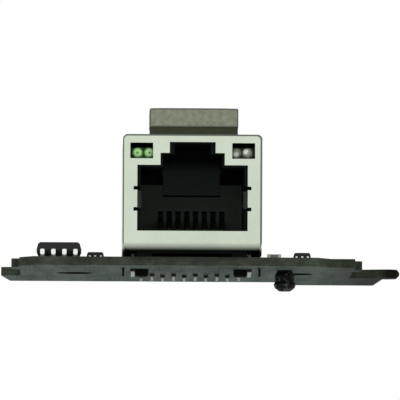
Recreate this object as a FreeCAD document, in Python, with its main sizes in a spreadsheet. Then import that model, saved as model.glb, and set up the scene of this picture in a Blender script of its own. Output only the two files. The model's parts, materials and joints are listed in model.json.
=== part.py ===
"""Network adapter card: a small printed board that carries a shielded network jack.

Frame: +X to the right of someone who faces the port, +Y from the port to the rear, +Z up.
Origin: midway between the two mounting holes, on the underside of the board. Millimetres.
"""
import FreeCAD
import Part
import Sketcher
import math
import os

# Driving dimensions, one cell each. Depths on the board are counted from its front edge,
# depths in the jack from its face, and heights in the jack from the top of the board.
DIMENSIONS = {
    # Board outline and its two mounting holes
    "board_thick": 1.0,
    "hole_line": 17.0,
    "hole_spacing": 25.8,
    "hole_dia": 4.2,
    "front_left": 19.25,
    "front_right": 19.48,
    "corner_wide": 1.6,
    "corner_deep": 2.4,
    "shoulder_wide": 2.8,
    "tab_left_line": 5.0,
    "tab_right_line": 6.8,
    "tab_depth": 4.8,
    "tab_left": 20.2,
    "tab_right": 20.43,
    "ear_line": 23.0,
    "ear_left": 21.6,
    "rear_left": 20.6,
    "finger_reach": 25.45,
    "finger_depth": 4.2,
    "rear_right": 22.9,
    "rear_taper": 0.6,
    "rear_zone": 13.0,
    "tongue_left": 12.2,
    "tongue_length": 6.3,
    "board_round": 0.4,
    "finger_slant": 2.0,
    "finger_round": 1.6,
    "finger_edge": 0.35,
    # Edge contacts on the tongue
    "finger_pitch": 1.0,
    "finger_width": 0.7,
    "finger_length": 4.6,
    "finger_margin": 0.85,
    "plating": 0.05,
    # Jack as a whole
    "jack_offset": 0.6,
    "jack_overhang": 2.0,
    "jack_width": 16.0,
    "jack_top": 14.0,
    "jack_length": 24.0,
    "fit_gap": 0.05,
    # Sheet-metal shield
    "sheet": 0.25,
    "side_bottom": 0.25,
    "face_bottom": 0.7,
    "bend_round": 0.55,
    "face_round": 0.2,
    "curl_radius": 0.8,
    "curl_inset": 0.1,
    "curl_round": 0.7,
    "lip_depth": 1.8,
    "blade_row": 7.5,
    "blade_width": 1.2,
    "blade_reach": 1.0,
    "wing_length": 4.5,
    "wing_low": 3.4,
    "wing_high": 11.4,
    "latch_width": 1.8,
    "latch_height": 1.2,
    # Port: opening in the shield, then the narrower cavity of the moulding
    "port_width": 12.68,
    "port_floor": 2.88,
    "port_roof": 10.45,
    "step_width": 7.37,
    "step_top": 11.84,
    "notch_width": 5.26,
    "notch_top": 13.1,
    "cavity_width": 11.9,
    "cavity_floor": 3.05,
    "cavity_roof": 10.2,
    "cavity_step": 6.8,
    "cavity_step_top": 11.7,
    "cavity_notch": 4.15,
    "cavity_top": 12.9,
    # Springs folded in from the sides of the port
    "spring_low": 5.38,
    "spring_high": 7.8,
    "spring_relief": 0.42,
    "spring_length": 3.4,
    "spring_bow": 0.48,
    # Indicator lights
    "window_offset": 5.85,
    "window_width": 2.62,
    "window_low": 11.2,
    "window_high": 13.0,
    "lens_radius": 0.65,
    "lens_spread": 1.37,
    "lens_inset": 0.2,
    "lens_height": 11.88,
    "light_height": 1.3,
    "light_length": 4.6,
    "light_front": 1.1,
    "lead_offset": 6.75,
    "lead_row": 9.1,
    "lead_gap": 2.54,
    "lead_size": 0.4,
    "lead_reach": 0.8,
    # Moulded housing and comb
    "tunnel_half": 4.6,
    "tunnel_height": 0.4,
    "side_tunnel_height": 0.7,
    "post_offset": 5.715,
    "post_row": 10.2,
    "post_dia": 1.6,
    "post_reach": 0.87,
    "post_chamfer": 0.18,
    "comb_line": 11.0,
    "comb_depth": 3.7,
    "comb_top": 7.46,
    "shoulder_top": 8.85,
    "comb_centre": 6.6,
    "comb_seam": 0.2,
    "recess_depth": 2.0,
    "slot_width": 0.62,
    "slot_top": 5.8,
    "slot_depth": 2.2,
    "chamber_width": 13.2,
    "chamber_floor": 1.65,
    "chamber_top": 12.6,
    # Contact wires
    "contact_pitch": 1.016,
    "wire": 0.35,
    "wire_height": 2.45,
    "wire_front": 3.9,
    "wire_bend": 0.45,
    "wire_tail": 16.2,
    "wire_tip_line": 12.4,
    "wire_tip_height": 4.9,
    "groove_width": 0.6,
    "groove_floor": 2.2,
    "groove_front": 3.0,
    # Signal pins and the transformers above them
    "pin_rear": 2.06,
    "pin_pitch": 2.54,
    "pin_stagger": 1.27,
    "pin_size": 0.3,
    "pin_hole": 0.8,
    "pin_reach": 0.8,
    "pin_head": 0.3,
    "carrier_front": 14.9,
    "core_inner": 0.8,
    "core_outer": 1.3,
    "core_height": 1.0,
    "winding": 0.28,
    "core_rear": 2.5,
    "core_step": 3.5,
    "core_offset": 3.3,
    # Grounding pad on top of the jack
    "pad_width": 10.05,
    "pad_offset": 0.25,
    "pad_front": 4.0,
    "pad_depth": 6.0,
    "pad_height": 2.2,
    "pad_round": 0.35,
    "pad_base": 1.0,
    "pad_base_inset": 0.08,
    # Support foot under the board
    "foot_x": 11.5,
    "foot_line": 9.2,
    "foot_radius": 1.3,
    "foot_reach": 2.42,
    "foot_stem": 0.6,
    "foot_bulb": 0.12,
    "foot_bulb_tall": 0.3,
    # Clearances round what passes through the board or the moulding
    "slot_clear": 0.15,
    "channel_clear": 0.2,
    # Eight-lead memory chip
    "flash_apart": 0.62,
    "flash_line": 4.0,
    "flash_wide": 5.15,
    "flash_deep": 3.9,
    "flash_tall": 1.75,
    "flash_gap": 0.15,
    "flash_seam": 0.82,
    "flash_pitch": 1.27,
    "flash_lead": 0.5,
    "flash_thick": 0.22,
    "flash_span": 6.0,
    # Six-lead line guards
    "guard_left_apart": 2.1,
    "guard_left_line": 8.4,
    "guard_right_apart": 1.43,
    "guard_right_line": 7.6,
    "guard_wide": 2.0,
    "guard_deep": 1.25,
    "guard_tall": 0.95,
    "guard_gap": 0.08,
    "guard_seam": 0.45,
    "guard_pitch": 0.65,
    "guard_lead": 0.22,
    "guard_thick": 0.14,
    "guard_span": 2.1,
    # Six-lead regulator
    "regulator_x": 9.6,
    "regulator_apart": 4.2,
    "regulator_wide": 2.9,
    "regulator_deep": 1.6,
    "regulator_tall": 1.2,
    "regulator_gap": 0.1,
    "regulator_seam": 0.6,
    "regulator_pitch": 0.95,
    "regulator_lead": 0.4,
    "regulator_thick": 0.16,
    "regulator_span": 2.8,
    # Leadless controller and its lands
    "controller_x": -3.0,
    "controller_apart": 3.9,
    "controller_side": 6.0,
    "controller_tall": 0.9,
    "land_tall": 0.15,
    "land_pitch": 0.4,
    "land_wide": 0.24,
    "land_long": 0.5,
    # Clock crystal
    "crystal_x": -10.5,
    "crystal_apart": 4.95,
    "crystal_long": 3.2,
    "crystal_wide": 2.5,
    "crystal_tall": 0.5,
    "crystal_round": 0.2,
    "lid_inset": 0.2,
    "lid_tall": 0.25,
    # Power inductor
    "coil_x": 15.5,
    "coil_apart": 5.6,
    "coil_side": 4.0,
    "coil_tall": 1.2,
    "coil_strap": 0.15,
    "coil_strap_wide": 2.2,
    "coil_strap_foot": 1.0,
    "coil_chamfer": 0.5,
    # Chip capacitors and resistors: three case sizes, then the places
    "tiny_long": 1.0,
    "tiny_wide": 0.5,
    "tiny_tall": 0.35,
    "small_long": 1.6,
    "small_wide": 0.8,
    "small_tall": 0.8,
    "large_long": 2.0,
    "large_wide": 1.25,
    "large_tall": 1.1,
    "cap_skin": 0.02,
    "port_cap_apart": 0.83,
    "port_cap_line": 7.9,
    "core_cap_x": 3.2,
    "core_cap_apart": 4.8,
    "core_cap_step": 3.4,
    "supply_cap_apart": 1.975,
    "bulk_cap_x": -16.6,
    "bulk_cap_apart": 3.4,
    "pull_shift": 2.0,
    "pull_apart": 2.35,
    "pull_step": 2.6,
    "clock_res_x": -7.4,
    "clock_res_apart": 2.05,
    "side_res_x": 17.0,
    "side_res_line": 12.0,
}

doc = FreeCAD.newDocument("AdapterCard")
sheet = doc.addObject("Spreadsheet::Sheet", "Dims")
for row, (name, number) in enumerate(DIMENSIONS.items(), start=1):
    sheet.set(f"A{row}", name)
    sheet.set(f"B{row}", str(number))
    sheet.setAlias(f"B{row}", name)
doc.recompute()


class Size:
    """A number together with the sheet formula that gives it."""

    def __init__(self, formula, value):
        self.formula = formula
        self.value = float(value)

    def _join(self, sign, other, value, flip=False):
        first, second = (size(other), self) if flip else (self, size(other))
        return Size(f"({first.formula} {sign} {second.formula})", value)

    def __add__(self, other):
        return self._join("+", other, self.value + size(other).value)

    def __radd__(self, other):
        return self._join("+", other, size(other).value + self.value, flip=True)

    def __sub__(self, other):
        return self._join("-", other, self.value - size(other).value)

    def __rsub__(self, other):
        return self._join("-", other, size(other).value - self.value, flip=True)

    def __mul__(self, other):
        return self._join("*", other, self.value * size(other).value)

    def __rmul__(self, other):
        return self._join("*", other, size(other).value * self.value, flip=True)

    def __truediv__(self, other):
        return self._join("/", other, self.value / size(other).value)

    def __neg__(self):
        return Size(f"(0 - {self.formula})", -self.value)


def size(thing):
    """Return the thing as a Size."""
    return thing if isinstance(thing, Size) else Size(repr(float(thing)), thing)


def cell(name):
    """Return the Size of one cell of the sheet."""
    return Size(f"Dims.{name}", DIMENSIONS[name])


def bind(thing, path, amount):
    """Tie one property of an object to the sheet."""
    thing.setExpression(path, size(amount).formula)


class Cells:
    """Sizes of the sheet by name."""

    def __getattr__(self, name):
        return cell(name)


dim = Cells()


def rect(left, right, low, high):
    """Corners of a rectangle."""
    return [(left, low), (right, low), (right, high), (left, high)]


def many_sided(u, v, diameter, sides):
    """Corners of a regular outline that goes round a circle."""
    reach = size(diameter) / (2 * math.cos(math.pi / sides))
    turns = [math.pi * (2 * step + 1) / sides for step in range(sides)]
    return [(u + reach * math.cos(turn), v + reach * math.sin(turn)) for turn in turns]


def mirrored(loop):
    """The same outline on the other side of the second axis."""
    return [(-size(u), v) for u, v in reversed(loop)]


class Piece:
    """A body whose sketches and features take their sizes from the sheet."""

    # Which way a plane's own normal points along the axis it is crossed by
    NORMALS = {"XY": 1, "XZ": -1, "YZ": 1}

    def __init__(self, label, at=(0, 0, 0)):
        self.label = label
        self.body = doc.addObject("PartDesign::Body", label)
        self.body.Label = label
        self.body.AllowCompound = True
        self.origin = {feature.Role: feature for feature in self.body.Origin.OriginFeatures}
        for axis, amount in zip("xyz", at):
            bind(self.body, f"Placement.Base.{axis}", amount)

    def sketch(self, plane, loops=(), circles=(), level=0):
        """Draw closed outlines and circles on a plane at a level along its axis."""
        drawing = self.body.newObject("Sketcher::SketchObject", f"{self.label}_sketch")
        drawing.AttachmentSupport = [(self.origin[f"{plane}_Plane"], "")]
        drawing.MapMode = "FlatFace"
        bind(drawing, "AttachmentOffset.Base.z", size(level) * self.NORMALS[plane])
        for loop in loops:
            self._draw_loop(drawing, loop)
        for u, v, diameter in circles:
            self._draw_circle(drawing, u, v, diameter)
        return drawing

    def _draw_loop(self, drawing, loop):
        corners = [FreeCAD.Vector(size(u).value, size(v).value, 0) for u, v in loop]
        ends = corners[1:] + corners[:1]
        lines = [drawing.addGeometry(Part.LineSegment(a, b)) for a, b in zip(corners, ends)]
        for line, following in zip(lines, lines[1:] + lines[:1]):
            drawing.addConstraint(Sketcher.Constraint("Coincident", line, 2, following, 1))
        for line, (u, v) in zip(lines, loop):
            self.hold(drawing, line, 1, u, v)

    def _draw_circle(self, drawing, u, v, diameter):
        middle = FreeCAD.Vector(size(u).value, size(v).value, 0)
        ring = Part.Circle(middle, FreeCAD.Vector(0, 0, 1), size(diameter).value / 2)
        circle = drawing.addGeometry(ring)
        self.hold(drawing, circle, 3, u, v)
        index = drawing.addConstraint(Sketcher.Constraint("Diameter", circle, size(diameter).value))
        bind(drawing, f"Constraints[{index}]", diameter)

    def hold(self, drawing, element, point, u, v):
        """Hold one point of a sketch at a place given by the sheet."""
        for kind, amount in (("DistanceX", u), ("DistanceY", v)):
            rule = Sketcher.Constraint(kind, -1, 1, element, point, size(amount).value)
            bind(drawing, f"Constraints[{drawing.addConstraint(rule)}]", amount)

    def add(self, plane, low, high, loops=(), circles=()):
        """Pad outlines from one level to another along the plane's axis."""
        return self._extrude("PartDesign::Pad", plane, low, high, loops, circles)

    def cut(self, plane, low, high, loops=(), circles=()):
        """Cut outlines out from one level to another along the plane's axis."""
        before = self._volume()
        feature = self._extrude("PartDesign::Pocket", plane, low, high, loops, circles)
        if not self._volume() < before - 1e-6:
            raise RuntimeError(f"a cut in {self.label} takes nothing away")
        return feature

    def _volume(self):
        doc.recompute()
        return self.body.Shape.Volume

    def _extrude(self, kind, plane, low, high, loops, circles):
        feature = self.body.newObject(kind, f"{self.label}_feature")
        feature.Profile = self.sketch(plane, loops, circles, low)
        bind(feature, "Length", size(high) - low)
        towards_normal = kind == "PartDesign::Pad"
        feature.Reversed = towards_normal == (self.NORMALS[plane] < 0)
        self.body.Tip = feature
        return feature

    def spin(self, loop):
        """Turn an outline of radii and heights about the body's own Z axis."""
        feature = self.body.newObject("PartDesign::Revolution", f"{self.label}_turned")
        feature.Profile = self.sketch("XZ", [loop])
        feature.ReferenceAxis = (self.origin["Z_Axis"], [""])
        feature.Angle = 360
        self.body.Tip = feature
        return feature

    def repeat(self, feature, axis, step, count):
        """Repeat a feature in a row."""
        pattern = self.body.newObject("PartDesign::LinearPattern", f"{self.label}_row")
        pattern.Originals = [feature]
        pattern.Direction = (self.origin[f"{axis}_Axis"], [""])
        bind(pattern, "Length", size(step) * (count - 1))
        pattern.Occurrences = count
        self.body.Tip = pattern
        return pattern

    def mirror(self, features, plane="YZ"):
        """Repeat features on the other side of a plane through the body's origin."""
        copy = self.body.newObject("PartDesign::Mirrored", f"{self.label}_mirrored")
        copy.Originals = features
        copy.MirrorPlane = (self.origin[f"{plane}_Plane"], [""])
        self.body.Tip = copy
        return copy

    def soften(self, axis, spots, radius, kind="Fillet"):
        """Round or chamfer the straight edges along an axis that pass through the spots."""
        doc.recompute()
        base = self.body.Tip
        across = [index for index in range(3) if index != "XYZ".index(axis)]
        targets = [[size(amount).value for amount in spot] for spot in spots]
        names = []
        for number, edge in enumerate(base.Shape.Edges, start=1):
            if edge.Curve.TypeId != "Part::GeomLine":
                continue
            if abs(abs(edge.Curve.Direction["XYZ".index(axis)]) - 1) > 1e-6:
                continue
            place = [edge.CenterOfMass[index] for index in across]
            if any(math.dist(place, target) < 1e-4 for target in targets):
                names.append(f"Edge{number}")
        return self._soften(base, names, radius, kind)

    def soften_rim(self, test, radius, kind="Fillet"):
        """Round or chamfer every edge that passes a test."""
        doc.recompute()
        base = self.body.Tip
        names = [f"Edge{i}" for i, edge in enumerate(base.Shape.Edges, start=1) if test(edge)]
        return self._soften(base, names, radius, kind)

    def _soften(self, base, names, radius, kind):
        feature = self.body.newObject(f"PartDesign::{kind}", f"{self.label}_soft")
        feature.Base = (base, names)
        bind(feature, "Radius" if kind == "Fillet" else "Size", radius)
        self.body.Tip = feature
        return feature


def on_board(depth):
    """Y of a point that is this deep behind the board's front edge."""
    return size(depth) - dim.hole_line


JACK = (dim.jack_offset, -(dim.hole_line + dim.jack_overhang), dim.board_thick)
jack_half = dim.jack_width / 2
shell_end = dim.jack_length - dim.sheet
shell_inner = jack_half - dim.sheet
housing_half = shell_inner - dim.fit_gap
housing_top = dim.jack_top - dim.sheet - dim.fit_gap
housing_end = shell_end - dim.fit_gap
curl_top = dim.face_bottom + dim.curl_radius
first_contact = dim.contact_pitch * -3.5
last_pin_row = dim.jack_length - dim.pin_rear
pin_rows = (
    (dim.pin_stagger - dim.post_offset, last_pin_row - dim.pin_pitch),
    (-dim.post_offset, last_pin_row),
)
wing_inner = shell_inner - dim.sheet
wing_front = shell_end - dim.wing_length
lead_rows = (dim.lead_row, dim.lead_row + dim.lead_gap)
PINS_IN_ROW = 5
CONTACTS = 8
EDGE_FINGERS = 10
LANDS_IN_ROW = 10

# Places on the board, which follow the jack: its two sides, its rear and the rows behind it
jack_left = dim.jack_offset - jack_half
jack_right = dim.jack_offset + jack_half
jack_rear = dim.jack_length - dim.jack_overhang
rear_line = jack_rear + dim.rear_zone
tongue_line = rear_line + dim.tongue_length
guard_left_x = jack_left - dim.guard_left_apart - dim.guard_wide / 2
flash_x = guard_left_x - dim.guard_wide / 2 - dim.flash_apart - dim.flash_wide / 2
port_cap_x = jack_right + dim.port_cap_apart + dim.small_long / 2
guard_right_x = port_cap_x + dim.small_long / 2 + dim.guard_right_apart + dim.guard_wide / 2
pull_line = dim.flash_line + dim.flash_span / 2 + dim.pull_apart + dim.tiny_wide / 2
controller_line = jack_rear + dim.controller_apart + dim.controller_side / 2
regulator_line = jack_rear + dim.regulator_apart + dim.regulator_span / 2
supply_cap_line = regulator_line + dim.regulator_span / 2 + dim.supply_cap_apart + dim.large_wide / 2
crystal_line = jack_rear + dim.crystal_apart + dim.crystal_wide / 2
clock_res_line = crystal_line + dim.crystal_wide / 2 + dim.clock_res_apart + dim.tiny_long / 2
coil_line = jack_rear + dim.coil_apart + dim.coil_side / 2
core_cap_line = jack_rear + dim.core_cap_apart + dim.small_long / 2
bulk_cap_line = jack_rear + dim.bulk_cap_apart + dim.large_long / 2


def stepped_port(width, floor, roof, step, step_top, notch, top):
    """Outline of a plug port with its two-step latch notch, seen from the front."""
    return [
        (-width / 2, floor),
        (width / 2, floor),
        (width / 2, roof),
        (step / 2, roof),
        (step / 2, step_top),
        (notch / 2, step_top),
        (notch / 2, top),
        (-notch / 2, top),
        (-notch / 2, step_top),
        (-step / 2, step_top),
        (-step / 2, roof),
        (-width / 2, roof),
    ]


def pin_hole(across, depth):
    """Outline of the hole that a pin or a lead goes through, with few sides because it repeats."""
    return many_sided(across, depth, dim.pin_hole, 8)


def board_side(side, reach, line):
    """Corners of one side of the board, from the end of its cut front corner to the rear of its short tab.

    side and reach are how far the side and its tab stand from the middle, line where the tab starts.
    """
    return [
        (side, on_board(dim.corner_deep)),
        (side, on_board(line)),
        (reach, on_board(line)),
        (reach, on_board(line + dim.tab_depth)),
        (side, on_board(line + dim.tab_depth)),
    ]


def build_board():
    """Printed board with its stepped outline and every hole drilled in it."""
    piece = Piece("board")
    finger_end = dim.ear_line + dim.finger_depth
    finger = [
        (dim.front_right, on_board(dim.ear_line + dim.finger_slant)),
        (dim.finger_reach, on_board(dim.ear_line)),
        (dim.finger_reach, on_board(finger_end)),
        (dim.rear_right + dim.rear_taper, on_board(finger_end)),
    ]
    rear = [
        (dim.rear_right, on_board(tongue_line)),
        (dim.tongue_left, on_board(tongue_line)),
        (dim.tongue_left, on_board(rear_line)),
        (-dim.rear_left, on_board(rear_line)),
        (-dim.ear_left, on_board(dim.ear_line)),
        (-dim.front_left, on_board(dim.ear_line)),
    ]
    shoulder = dim.front_right - dim.shoulder_wide
    right = [(shoulder - dim.corner_wide, on_board(0)), (shoulder, on_board(dim.corner_deep))]
    right += board_side(dim.front_right, dim.tab_right, dim.tab_right_line)
    left = [(dim.front_left - dim.corner_wide, on_board(0))]
    left = mirrored(left + board_side(dim.front_left, dim.tab_left, dim.tab_left_line))
    piece.add("XY", 0, dim.board_thick, [right + finger + rear + left])
    piece.soften("Z", finger[1:3], dim.finger_round)
    tip, top, edge = dim.finger_reach, dim.board_thick, dim.finger_edge
    upper = [(tip - edge * 2, top + edge), (tip + edge, top + edge), (tip + edge, top - edge * 2)]
    lower = [(tip - edge * 2, -edge), (tip + edge, -edge), (tip + edge, edge * 2)]
    piece.cut("XZ", on_board(dim.ear_line) - 1, on_board(finger_end) + 1, [upper, lower])
    piece.soften("Z", right + finger[:1] + rear + left, dim.board_round)
    half_spacing = dim.hole_spacing / 2
    holes = [(-half_spacing, 0, dim.hole_dia), (half_spacing, 0, dim.hole_dia)]
    foot_hole = (dim.foot_stem + dim.fit_gap) * 2
    holes.append((dim.foot_x, on_board(dim.foot_line), foot_hole))
    lead_holes = []
    for side in (-1, 1):
        across = dim.jack_offset + dim.post_offset * side
        post_hole = dim.post_dia + dim.fit_gap * 2
        holes.append((across, on_board(dim.post_row - dim.jack_overhang), post_hole))
        for row_depth in lead_rows:
            across = dim.jack_offset + dim.lead_offset * side
            lead_holes.append(pin_hole(across, on_board(row_depth - dim.jack_overhang)))
    piece.cut("XY", 0, dim.board_thick, lead_holes, holes)
    for first, depth in pin_rows:
        hole = pin_hole(dim.jack_offset + first, on_board(depth - dim.jack_overhang))
        drilled = piece.cut("XY", 0, dim.board_thick, [hole])
        piece.repeat(drilled, "X", dim.pin_pitch, PINS_IN_ROW)
    tab_middle = on_board(dim.blade_row - dim.jack_overhang)
    slot_half = dim.blade_width / 2 + dim.slot_clear
    slots = []
    for side in (-1, 1):
        across = dim.jack_offset + (jack_half - dim.sheet / 2) * side
        slot_width = dim.sheet / 2 + dim.slot_clear
        sides = (across - slot_width, across + slot_width)
        slots.append(rect(*sides, tab_middle - slot_half, tab_middle + slot_half))
    piece.cut("XY", 0, dim.board_thick, slots)
    return piece


def build_edge_contacts():
    """Plated fingers on the upper face of the tongue."""
    end = on_board(tongue_line) - dim.finger_margin
    left = dim.tongue_left + dim.finger_margin - dim.finger_width / 2
    finger = rect(left, left + dim.finger_width, end - dim.finger_length, end)
    piece = Piece("edge_contacts_top")
    plated = piece.add("XY", dim.board_thick, dim.board_thick + dim.plating, [finger])
    piece.repeat(plated, "X", dim.finger_pitch, EDGE_FINGERS)
    return piece


def build_shield():
    """Sheet-metal shield folded round the jack: face, top, sides, curled lip, springs, tabs, windows."""
    piece = Piece("jack_shield", JACK)
    piece.add("XZ", 0, shell_end, [rect(-jack_half, jack_half, curl_top, dim.jack_top)])
    lower = rect(-jack_half, jack_half, dim.side_bottom, curl_top)
    piece.add("XZ", dim.lip_depth, shell_end, [lower])
    piece.soften("Y", [(-jack_half, dim.jack_top), (jack_half, dim.jack_top)], dim.bend_round)
    lowest = curl_top.value + 1e-4
    piece.soften_rim(
        lambda edge: edge.BoundBox.YMax < 1e-6 and edge.BoundBox.ZMax > lowest, dim.face_round
    )
    curl_half = jack_half - dim.curl_inset
    curl = (dim.curl_radius, curl_top, dim.curl_radius * 2)
    piece.add("YZ", -curl_half, curl_half, circles=[curl])
    lip = rect(dim.curl_radius, dim.lip_depth, dim.face_bottom, curl_top)
    piece.add("YZ", -curl_half, curl_half, [lip])
    corner = [(curl_half + 1, dim.face_bottom - 1), (curl_half - dim.curl_round, dim.face_bottom - 1)]
    for angle in range(0, 91, 15):
        turn = math.radians(angle)
        across = curl_half - dim.curl_round * (1 - math.sin(turn))
        corner.append((across, dim.face_bottom + dim.curl_round * (1 - math.cos(turn))))
    corner.append((curl_half + 1, dim.face_bottom + dim.curl_round))
    piece.cut("XZ", -1, dim.lip_depth, [corner, mirrored(corner)])
    hollow_top = dim.jack_top - dim.sheet
    piece.cut("XZ", dim.sheet, dim.jack_length, [rect(-shell_inner, shell_inner, curl_top, hollow_top)])
    inner_corners = [(-shell_inner, hollow_top), (shell_inner, hollow_top)]
    piece.soften("Y", inner_corners, dim.bend_round - dim.sheet)
    lip_top = dim.face_bottom + dim.sheet
    piece.cut("XZ", dim.curl_radius, dim.jack_length, [rect(-shell_inner, shell_inner, lip_top, curl_top)])
    hollow_curl = (dim.curl_radius, curl_top, (dim.curl_radius - dim.sheet) * 2)
    piece.cut("YZ", -shell_inner, shell_inner, circles=[hollow_curl])
    under = rect(-shell_inner, shell_inner, dim.side_bottom - 1, lip_top)
    piece.cut("XZ", dim.lip_depth, dim.jack_length, [under])
    port = stepped_port(
        dim.port_width, dim.port_floor, dim.port_roof, dim.step_width, dim.step_top,
        dim.notch_width, dim.notch_top,
    )
    piece.cut("XZ", -1, dim.sheet * 2, [port])
    window_half = dim.window_width / 2
    window = rect(
        dim.window_offset - window_half, dim.window_offset + window_half, dim.window_low, dim.window_high
    )
    piece.cut("XZ", -1, dim.sheet * 2, [window, mirrored(window)])
    build_springs(piece)
    build_tabs(piece)
    piece.cut("YZ", -jack_half - 1, jack_half + 1, [latch_outline(dim.fit_gap)])
    return piece


def build_springs(piece):
    """Springs folded in from the sides of the port, with a relief notch at each end of the fold."""
    edge = dim.port_width / 2
    relief_half = dim.spring_relief / 2
    reliefs = []
    for level in (dim.spring_low, dim.spring_high):
        reliefs.append(
            rect(edge - dim.sheet, edge + dim.spring_relief, level - relief_half, level + relief_half)
        )
    piece.cut("XZ", -1, dim.sheet * 2, reliefs + [mirrored(relief) for relief in reliefs])
    outer = edge + dim.sheet
    straight = dim.sheet * 3
    crest = dim.spring_length * 0.75
    strip = [
        (outer, dim.sheet / 2),
        (outer, straight),
        (outer - dim.spring_bow, crest),
        (outer - dim.sheet / 2, dim.spring_length),
        (edge - dim.sheet / 2, dim.spring_length),
        (edge - dim.spring_bow, crest),
        (edge, straight),
        (edge, dim.sheet / 2),
    ]
    low = dim.spring_low + relief_half
    high = dim.spring_high - relief_half
    piece.add("XY", low, high, [strip, mirrored(strip)])


def build_tabs(piece):
    """One solder tab under each side of the shield, with a tapered tip through the board."""
    half = dim.blade_width / 2
    tip = -(dim.board_thick + dim.blade_reach)
    blade = [
        (dim.blade_row - half / 2, tip),
        (dim.blade_row + half / 2, tip),
        (dim.blade_row + half, tip + half),
        (dim.blade_row + half, dim.side_bottom + half),
        (dim.blade_row - half, dim.side_bottom + half),
        (dim.blade_row - half, tip + half),
    ]
    blades = piece.add("YZ", shell_inner, jack_half, [blade])
    piece.mirror([blades])


def latch_outline(gap):
    """Outline of a latch on the side of the jack, grown by a gap."""
    middle = shell_end - dim.wing_length / 2
    level = (dim.wing_low + dim.wing_high) / 2
    width = dim.latch_width / 2 + gap
    height = dim.latch_height / 2 + gap
    return rect(middle - width, middle + width, level - height, level + height)


def build_rear_cover():
    """Rear plate whose wings tuck in behind the sides of the shield and latch in its windows."""
    piece = Piece("jack_rear_cover", JACK)
    plate = rect(-jack_half, jack_half, shell_end, dim.jack_length)
    wing = rect(wing_inner, shell_inner, wing_front, shell_end + dim.sheet / 2)
    piece.add("XY", dim.side_bottom, dim.jack_top, [plate])
    corners = [(-jack_half, dim.jack_length), (jack_half, dim.jack_length)]
    piece.soften("Z", corners, dim.sheet * 0.8)
    piece.add("XY", dim.wing_low, dim.wing_high, [wing, mirrored(wing)])
    latch = piece.add("YZ", wing_inner, jack_half - dim.fit_gap, [latch_outline(0)])
    piece.mirror([latch])
    return piece


def comb_outline(half, floor, top, shoulder, centre_half):
    """Front of the comb: a low middle between two higher shoulders."""
    return [
        (-half, floor),
        (half, floor),
        (half, shoulder),
        (centre_half, shoulder),
        (centre_half, top),
        (-centre_half, top),
        (-centre_half, shoulder),
        (-half, shoulder),
    ]


def build_housing():
    """Black moulding: stepped port, light pockets, wire grooves, rear chamber and locating posts."""
    piece = Piece("jack_housing", JACK)
    piece.add("XZ", dim.sheet, housing_end, [rect(-housing_half, housing_half, 0, housing_top)])
    top_corners = [(-housing_half, housing_top), (housing_half, housing_top)]
    piece.soften("Y", top_corners, dim.bend_round - dim.sheet)
    nose_end = dim.lip_depth + dim.fit_gap
    piece.cut("YZ", -housing_half, housing_half, [rect(0, nose_end, -1, curl_top + dim.fit_gap)])
    tunnel = rect(-dim.tunnel_half, dim.tunnel_half, -1, dim.tunnel_height)
    piece.cut("XZ", 0, dim.jack_length, [tunnel])
    wing_room = rect(
        wing_front - dim.fit_gap, dim.jack_length, dim.wing_low - dim.fit_gap, dim.wing_high + dim.fit_gap
    )
    relieved = piece.cut("YZ", wing_inner - dim.fit_gap, jack_half, [wing_room])
    piece.mirror([relieved])
    port = stepped_port(
        dim.cavity_width, dim.cavity_floor, dim.cavity_roof, dim.cavity_step, dim.cavity_step_top,
        dim.cavity_notch, dim.cavity_top,
    )
    piece.cut("XZ", 0, dim.comb_line, [port])
    build_comb_seat(piece)
    build_light_pockets(piece)
    groove = rect(
        first_contact - dim.groove_width / 2, first_contact + dim.groove_width / 2,
        dim.groove_floor, dim.cavity_floor + dim.wire,
    )
    milled = piece.cut("XZ", dim.groove_front, dim.carrier_front, [groove])
    piece.repeat(milled, "X", dim.contact_pitch, CONTACTS)
    for first, depth in pin_rows:
        section = pin_section(first, depth)
        drilled = piece.cut("XY", 0, dim.chamber_floor, [section])
        piece.repeat(drilled, "X", dim.pin_pitch, PINS_IN_ROW)
    build_posts(piece)
    return piece


def pin_section(across, depth):
    """Square section of a signal pin."""
    half = dim.pin_size / 2
    return rect(across - half, across + half, depth - half, depth + half)


def build_comb_seat(piece):
    """Passage for the comb, the dark recesses over its shoulders, and the chamber behind it."""
    seat = comb_outline(
        dim.cavity_width / 2, dim.cavity_floor, dim.comb_top + dim.comb_seam,
        dim.shoulder_top + dim.fit_gap, dim.comb_centre / 2,
    )
    piece.cut("XZ", dim.comb_line - dim.fit_gap, dim.carrier_front, [seat])
    recess = rect(dim.comb_centre / 2, dim.cavity_width / 2, dim.shoulder_top, dim.cavity_roof)
    piece.cut("XZ", 0, dim.comb_line + dim.recess_depth, [recess, mirrored(recess)])
    chamber_half = dim.chamber_width / 2
    chamber = rect(-chamber_half, chamber_half, dim.chamber_floor, dim.chamber_top)
    piece.cut("XZ", dim.comb_line + dim.comb_depth, dim.jack_length, [chamber])
    slot_outer = dim.port_width / 2 + dim.sheet + dim.spring_relief
    slot_half = dim.spring_relief / 2
    spring_slot = rect(
        dim.cavity_width / 2 - dim.sheet, slot_outer, dim.spring_low - slot_half, dim.spring_high + slot_half
    )
    piece.cut("XZ", 0, dim.spring_length + dim.sheet, [spring_slot, mirrored(spring_slot)])


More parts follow.
